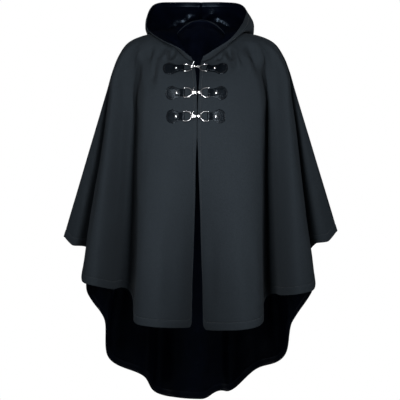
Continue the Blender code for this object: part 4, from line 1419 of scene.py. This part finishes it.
def build_hook(name, node, right, left, up, turned):
    """A swivel snap hook: a claw with its lever round one ring, a neck, and an eye round the other."""
    along = (left - right).normalized()
    normal = along.cross(up).normalized()
    up = normal.cross(along).normalized()
    roll = math.radians(turned)
    wide = (up * math.cos(roll) + normal * math.sin(roll)).normalized()
    out = WIRE + HOOK_PLAY + HOOK_THICK / 2
    span = (left - right).length
    places = np.linspace(HOOK_LOBES[0][0], HOOK_LOBES[-1][0], 44)
    lobes = through([r[0] for r in HOOK_LOBES], [r[1:] for r in HOOK_LOBES], places, level=True)
    points = [right + along * span * p + normal * (out + HOOK_ABOVE) for p in places]
    halves = [(high, deep) for high, deep in lobes]
    if abs(turned) > EDGE_ON_DEG:
        halves = [(high * 0.72, deep * 0.85) for high, deep in halves]
    body = ovals(points, [wide] * len(points), halves, 20, square=2.6)
    made = [loft(name, body, metal)]
    for label, bow, turn_way in (("claw", right, 1), ("eye", left, -1)):
        line, sizes = [], []
        for degrees in np.linspace(WRAP_FROM_DEG, WRAP_TO_DEG, 20):
            turn = math.radians(degrees)
            line.append(bow + (along * math.cos(turn) * turn_way + normal * math.sin(turn)) * out)
            share = (degrees - WRAP_FROM_DEG) / (WRAP_TO_DEG - WRAP_FROM_DEG)
            sizes.append((0.0030 - 0.0012 * share, HOOK_THICK / 2 * (1 - 0.25 * share)))
        made.append(loft(f"{name}_{label}", ovals(line, [up] * len(line), sizes, 14, square=2.3), metal))
    lever = []
    for share in np.linspace(0, 1, LEVER_STEPS):
        bend = math.radians(150 - 75 * share)
        reach = 0.0102 * share
        lever.append(
            right + along * (span * 0.26 + reach * math.cos(bend) * 1.15 - 0.0008)
            + wide * (0.0030 + reach * math.sin(bend) * 0.95) + normal * (out + 0.0014 + 0.0006 * share)
        )
    sizes = [(0.0017 - 0.0006 * s, 0.0013 - 0.0004 * s) for s in np.linspace(0, 1, LEVER_STEPS)]
    sizes[-1] = (0.0006, 0.0005)
    made.append(loft(f"{name}_lever", ovals(lever, [normal] * LEVER_STEPS, sizes, 12), metal))
    collar = []
    sizes = []
    for share in np.linspace(-1, 1, 9):
        collar.append(right + along * span * (COLLAR_AT + 0.035 * share) + normal * (out + HOOK_ABOVE))
        size = 0.0031 * math.sqrt(max(1 - share**2 * 0.75, 0.1))
        sizes.append((size, size))
    made.append(loft(f"{name}_collar", ovals(collar, [up] * 9, sizes, 20), metal))
    settle(made[0], "metal", node)
    for piece in made[1:]:
        settle(piece, "metal")


def build_clasps(fronts):
    for number, (x, z, length, turned) in enumerate(CLASPS, 1):
        apexes, ups = {}, []
        for side, word in SIDES:
            bar_x = x + side * (APEX_APART / 2 + RING_LENGTH)
            surface = Surface(fronts[side], bar_x, z, -side)
            build_tab(f"leather_tab_{word}_{number}", f"tab_{word}_{number}", surface, length)
            build_rivet(f"cap_rivet_{word}_{number}", f"rivet_{word}_{number}", surface)
            bar = surface.place(0, 0, BAR_HEIGHT)
            aim = bar + surface.along * RING_LENGTH + surface.normal * RING_TILT
            apexes[side] = build_ring(f"d_ring_{word}_{number}", f"ring_{word}_{number}", surface, aim)
            ups.append(surface.up)
        up = (ups[0] + ups[1]).normalized()
        build_hook(f"snap_hook_{number}", f"hook_{number}", apexes[-1], apexes[1], up, turned)


# Building it

fronts, panels = {}, {}
for side, word in SIDES:
    panel, sewn, outer = build_front(side, word)
    panels[side] = (panel, sewn, outer)
    fronts[side] = tree_of([(outer, side > 0)])
back, back_sewn, back_outer, back_normals, back_downs = build_back()
back_satin = build_back_lining(back_outer, back_normals, back_downs)
cape_tree = tree_of([(panels[-1][2], False), (panels[1][2], True), (back_outer, False)])
(hood_right, rim_right, satin_right), (hood_left, rim_left, satin_left) = build_hood(cape_tree)
binding = build_binding()
build_clasps(fronts)

# Studio: a pale floor under the cape, a white room, and lights from the front, the sides and behind

PIXEL = 0.00267
PHOTO = 400
ORIGIN_ROW = 31
SENSOR = 36
DISTANCE = 8.0
FLOOR_Z = -1.45
FLOOR_RADIUS = 3.2
FLOOR_SIDES = 96


def build_floor():
    edge = [(FLOOR_RADIUS * x, FLOOR_RADIUS * y, FLOOR_Z) for x, y in circle(FLOOR_SIDES)]
    points = [(0, 0, FLOOR_Z)] + edge
    faces = [(0, k + 1, (k + 1) % FLOOR_SIDES + 1) for k in range(FLOOR_SIDES)]
    floor = mesh_object("floor", points, faces, floor_material(), smooth=False)
    floor.visible_diffuse = False


def build_camera():
    data = bpy.data.cameras.new("camera")
    data.sensor_width = SENSOR
    data.lens = SENSOR * DISTANCE / (PHOTO * PIXEL)
    camera = bpy.data.objects.new("camera", data)
    camera.location = (-PIXEL, -DISTANCE, (ORIGIN_ROW - PHOTO / 2) * PIXEL)
    camera.rotation_euler = (math.pi / 2, 0, 0)
    bpy.context.scene.collection.objects.link(camera)
    bpy.context.scene.camera = camera


def area_light(name, place, aim, size, height, power, gloss=True):
    data = bpy.data.lights.new(name, "AREA")
    data.shape = "RECTANGLE"
    data.size = size
    data.size_y = height
    data.energy = power
    lamp = bpy.data.objects.new(name, data)
    lamp.location = place
    lamp.visible_glossy = gloss
    lamp.visible_camera = False
    lamp.rotation_euler = (Vector(aim) - Vector(place)).to_track_quat("-Z", "Y").to_euler()
    bpy.context.scene.collection.objects.link(lamp)


def build_world():
    world = bpy.data.worlds.new("studio")
    bpy.context.scene.world = world
    world.use_nodes = True
    tree = world.node_tree
    tree.nodes.clear()
    seen = tree.nodes.new("ShaderNodeBackground")
    seen.inputs["Color"].default_value = (1, 1, 1, 1)
    lit = tree.nodes.new("ShaderNodeBackground")
    lit.inputs["Color"].default_value = (0.95, 0.98, 1, 1)
    lit.inputs["Strength"].default_value = 0.025
    shone = tree.nodes.new("ShaderNodeBackground")
    shone.inputs["Color"].default_value = (0.97, 0.98, 1, 1)
    direction = tree.nodes.new("ShaderNodeTexCoord").outputs["Generated"]
    split = tree.nodes.new("ShaderNodeSeparateXYZ")
    tree.links.new(direction, split.inputs["Vector"])
    ahead = tree.nodes.new("ShaderNodeMapRange")
    for socket, value in (("From Min", -0.35), ("From Max", 0.05), ("To Min", 0.19), ("To Max", 0.01)):
        ahead.inputs[socket].default_value = value
    tree.links.new(split.outputs["Y"], ahead.inputs["Value"])
    tree.links.new(ahead.outputs["Result"], shone.inputs["Strength"])
    path = tree.nodes.new("ShaderNodeLightPath")
    first = tree.nodes.new("ShaderNodeMixShader")
    mix = tree.nodes.new("ShaderNodeMixShader")
    output = tree.nodes.new("ShaderNodeOutputWorld")
    tree.links.new(path.outputs["Is Glossy Ray"], first.inputs["Fac"])
    tree.links.new(lit.outputs["Background"], first.inputs[1])
    tree.links.new(shone.outputs["Background"], first.inputs[2])
    tree.links.new(path.outputs["Is Camera Ray"], mix.inputs["Fac"])
    tree.links.new(first.outputs["Shader"], mix.inputs[1])
    tree.links.new(seen.outputs["Background"], mix.inputs[2])
    tree.links.new(mix.outputs["Shader"], output.inputs["Surface"])


build_floor()
build_camera()
area_light("key", (0.0, -0.94, -0.16), (0, 0, -0.16), 0.13, 0.9, 10.4)
area_light("gloss", (-0.5, -3.2, 1.55), (0, 0, -0.15), 0.55, 0.30, 14)
area_light("back", (0.3, 3.6, 1.5), (0, 0, -0.45), 5.0, 1.4, 170, gloss=False)
area_light("side_right", (-3.0, 0.6, 0.5), (0, 0, -0.45), 1.2, 1.6, 26, gloss=False)
area_light("side_left", (3.0, 0.6, 0.5), (0, 0, -0.45), 1.2, 1.6, 26, gloss=False)
build_world()
bpy.context.scene.view_settings.view_transform = "Standard"
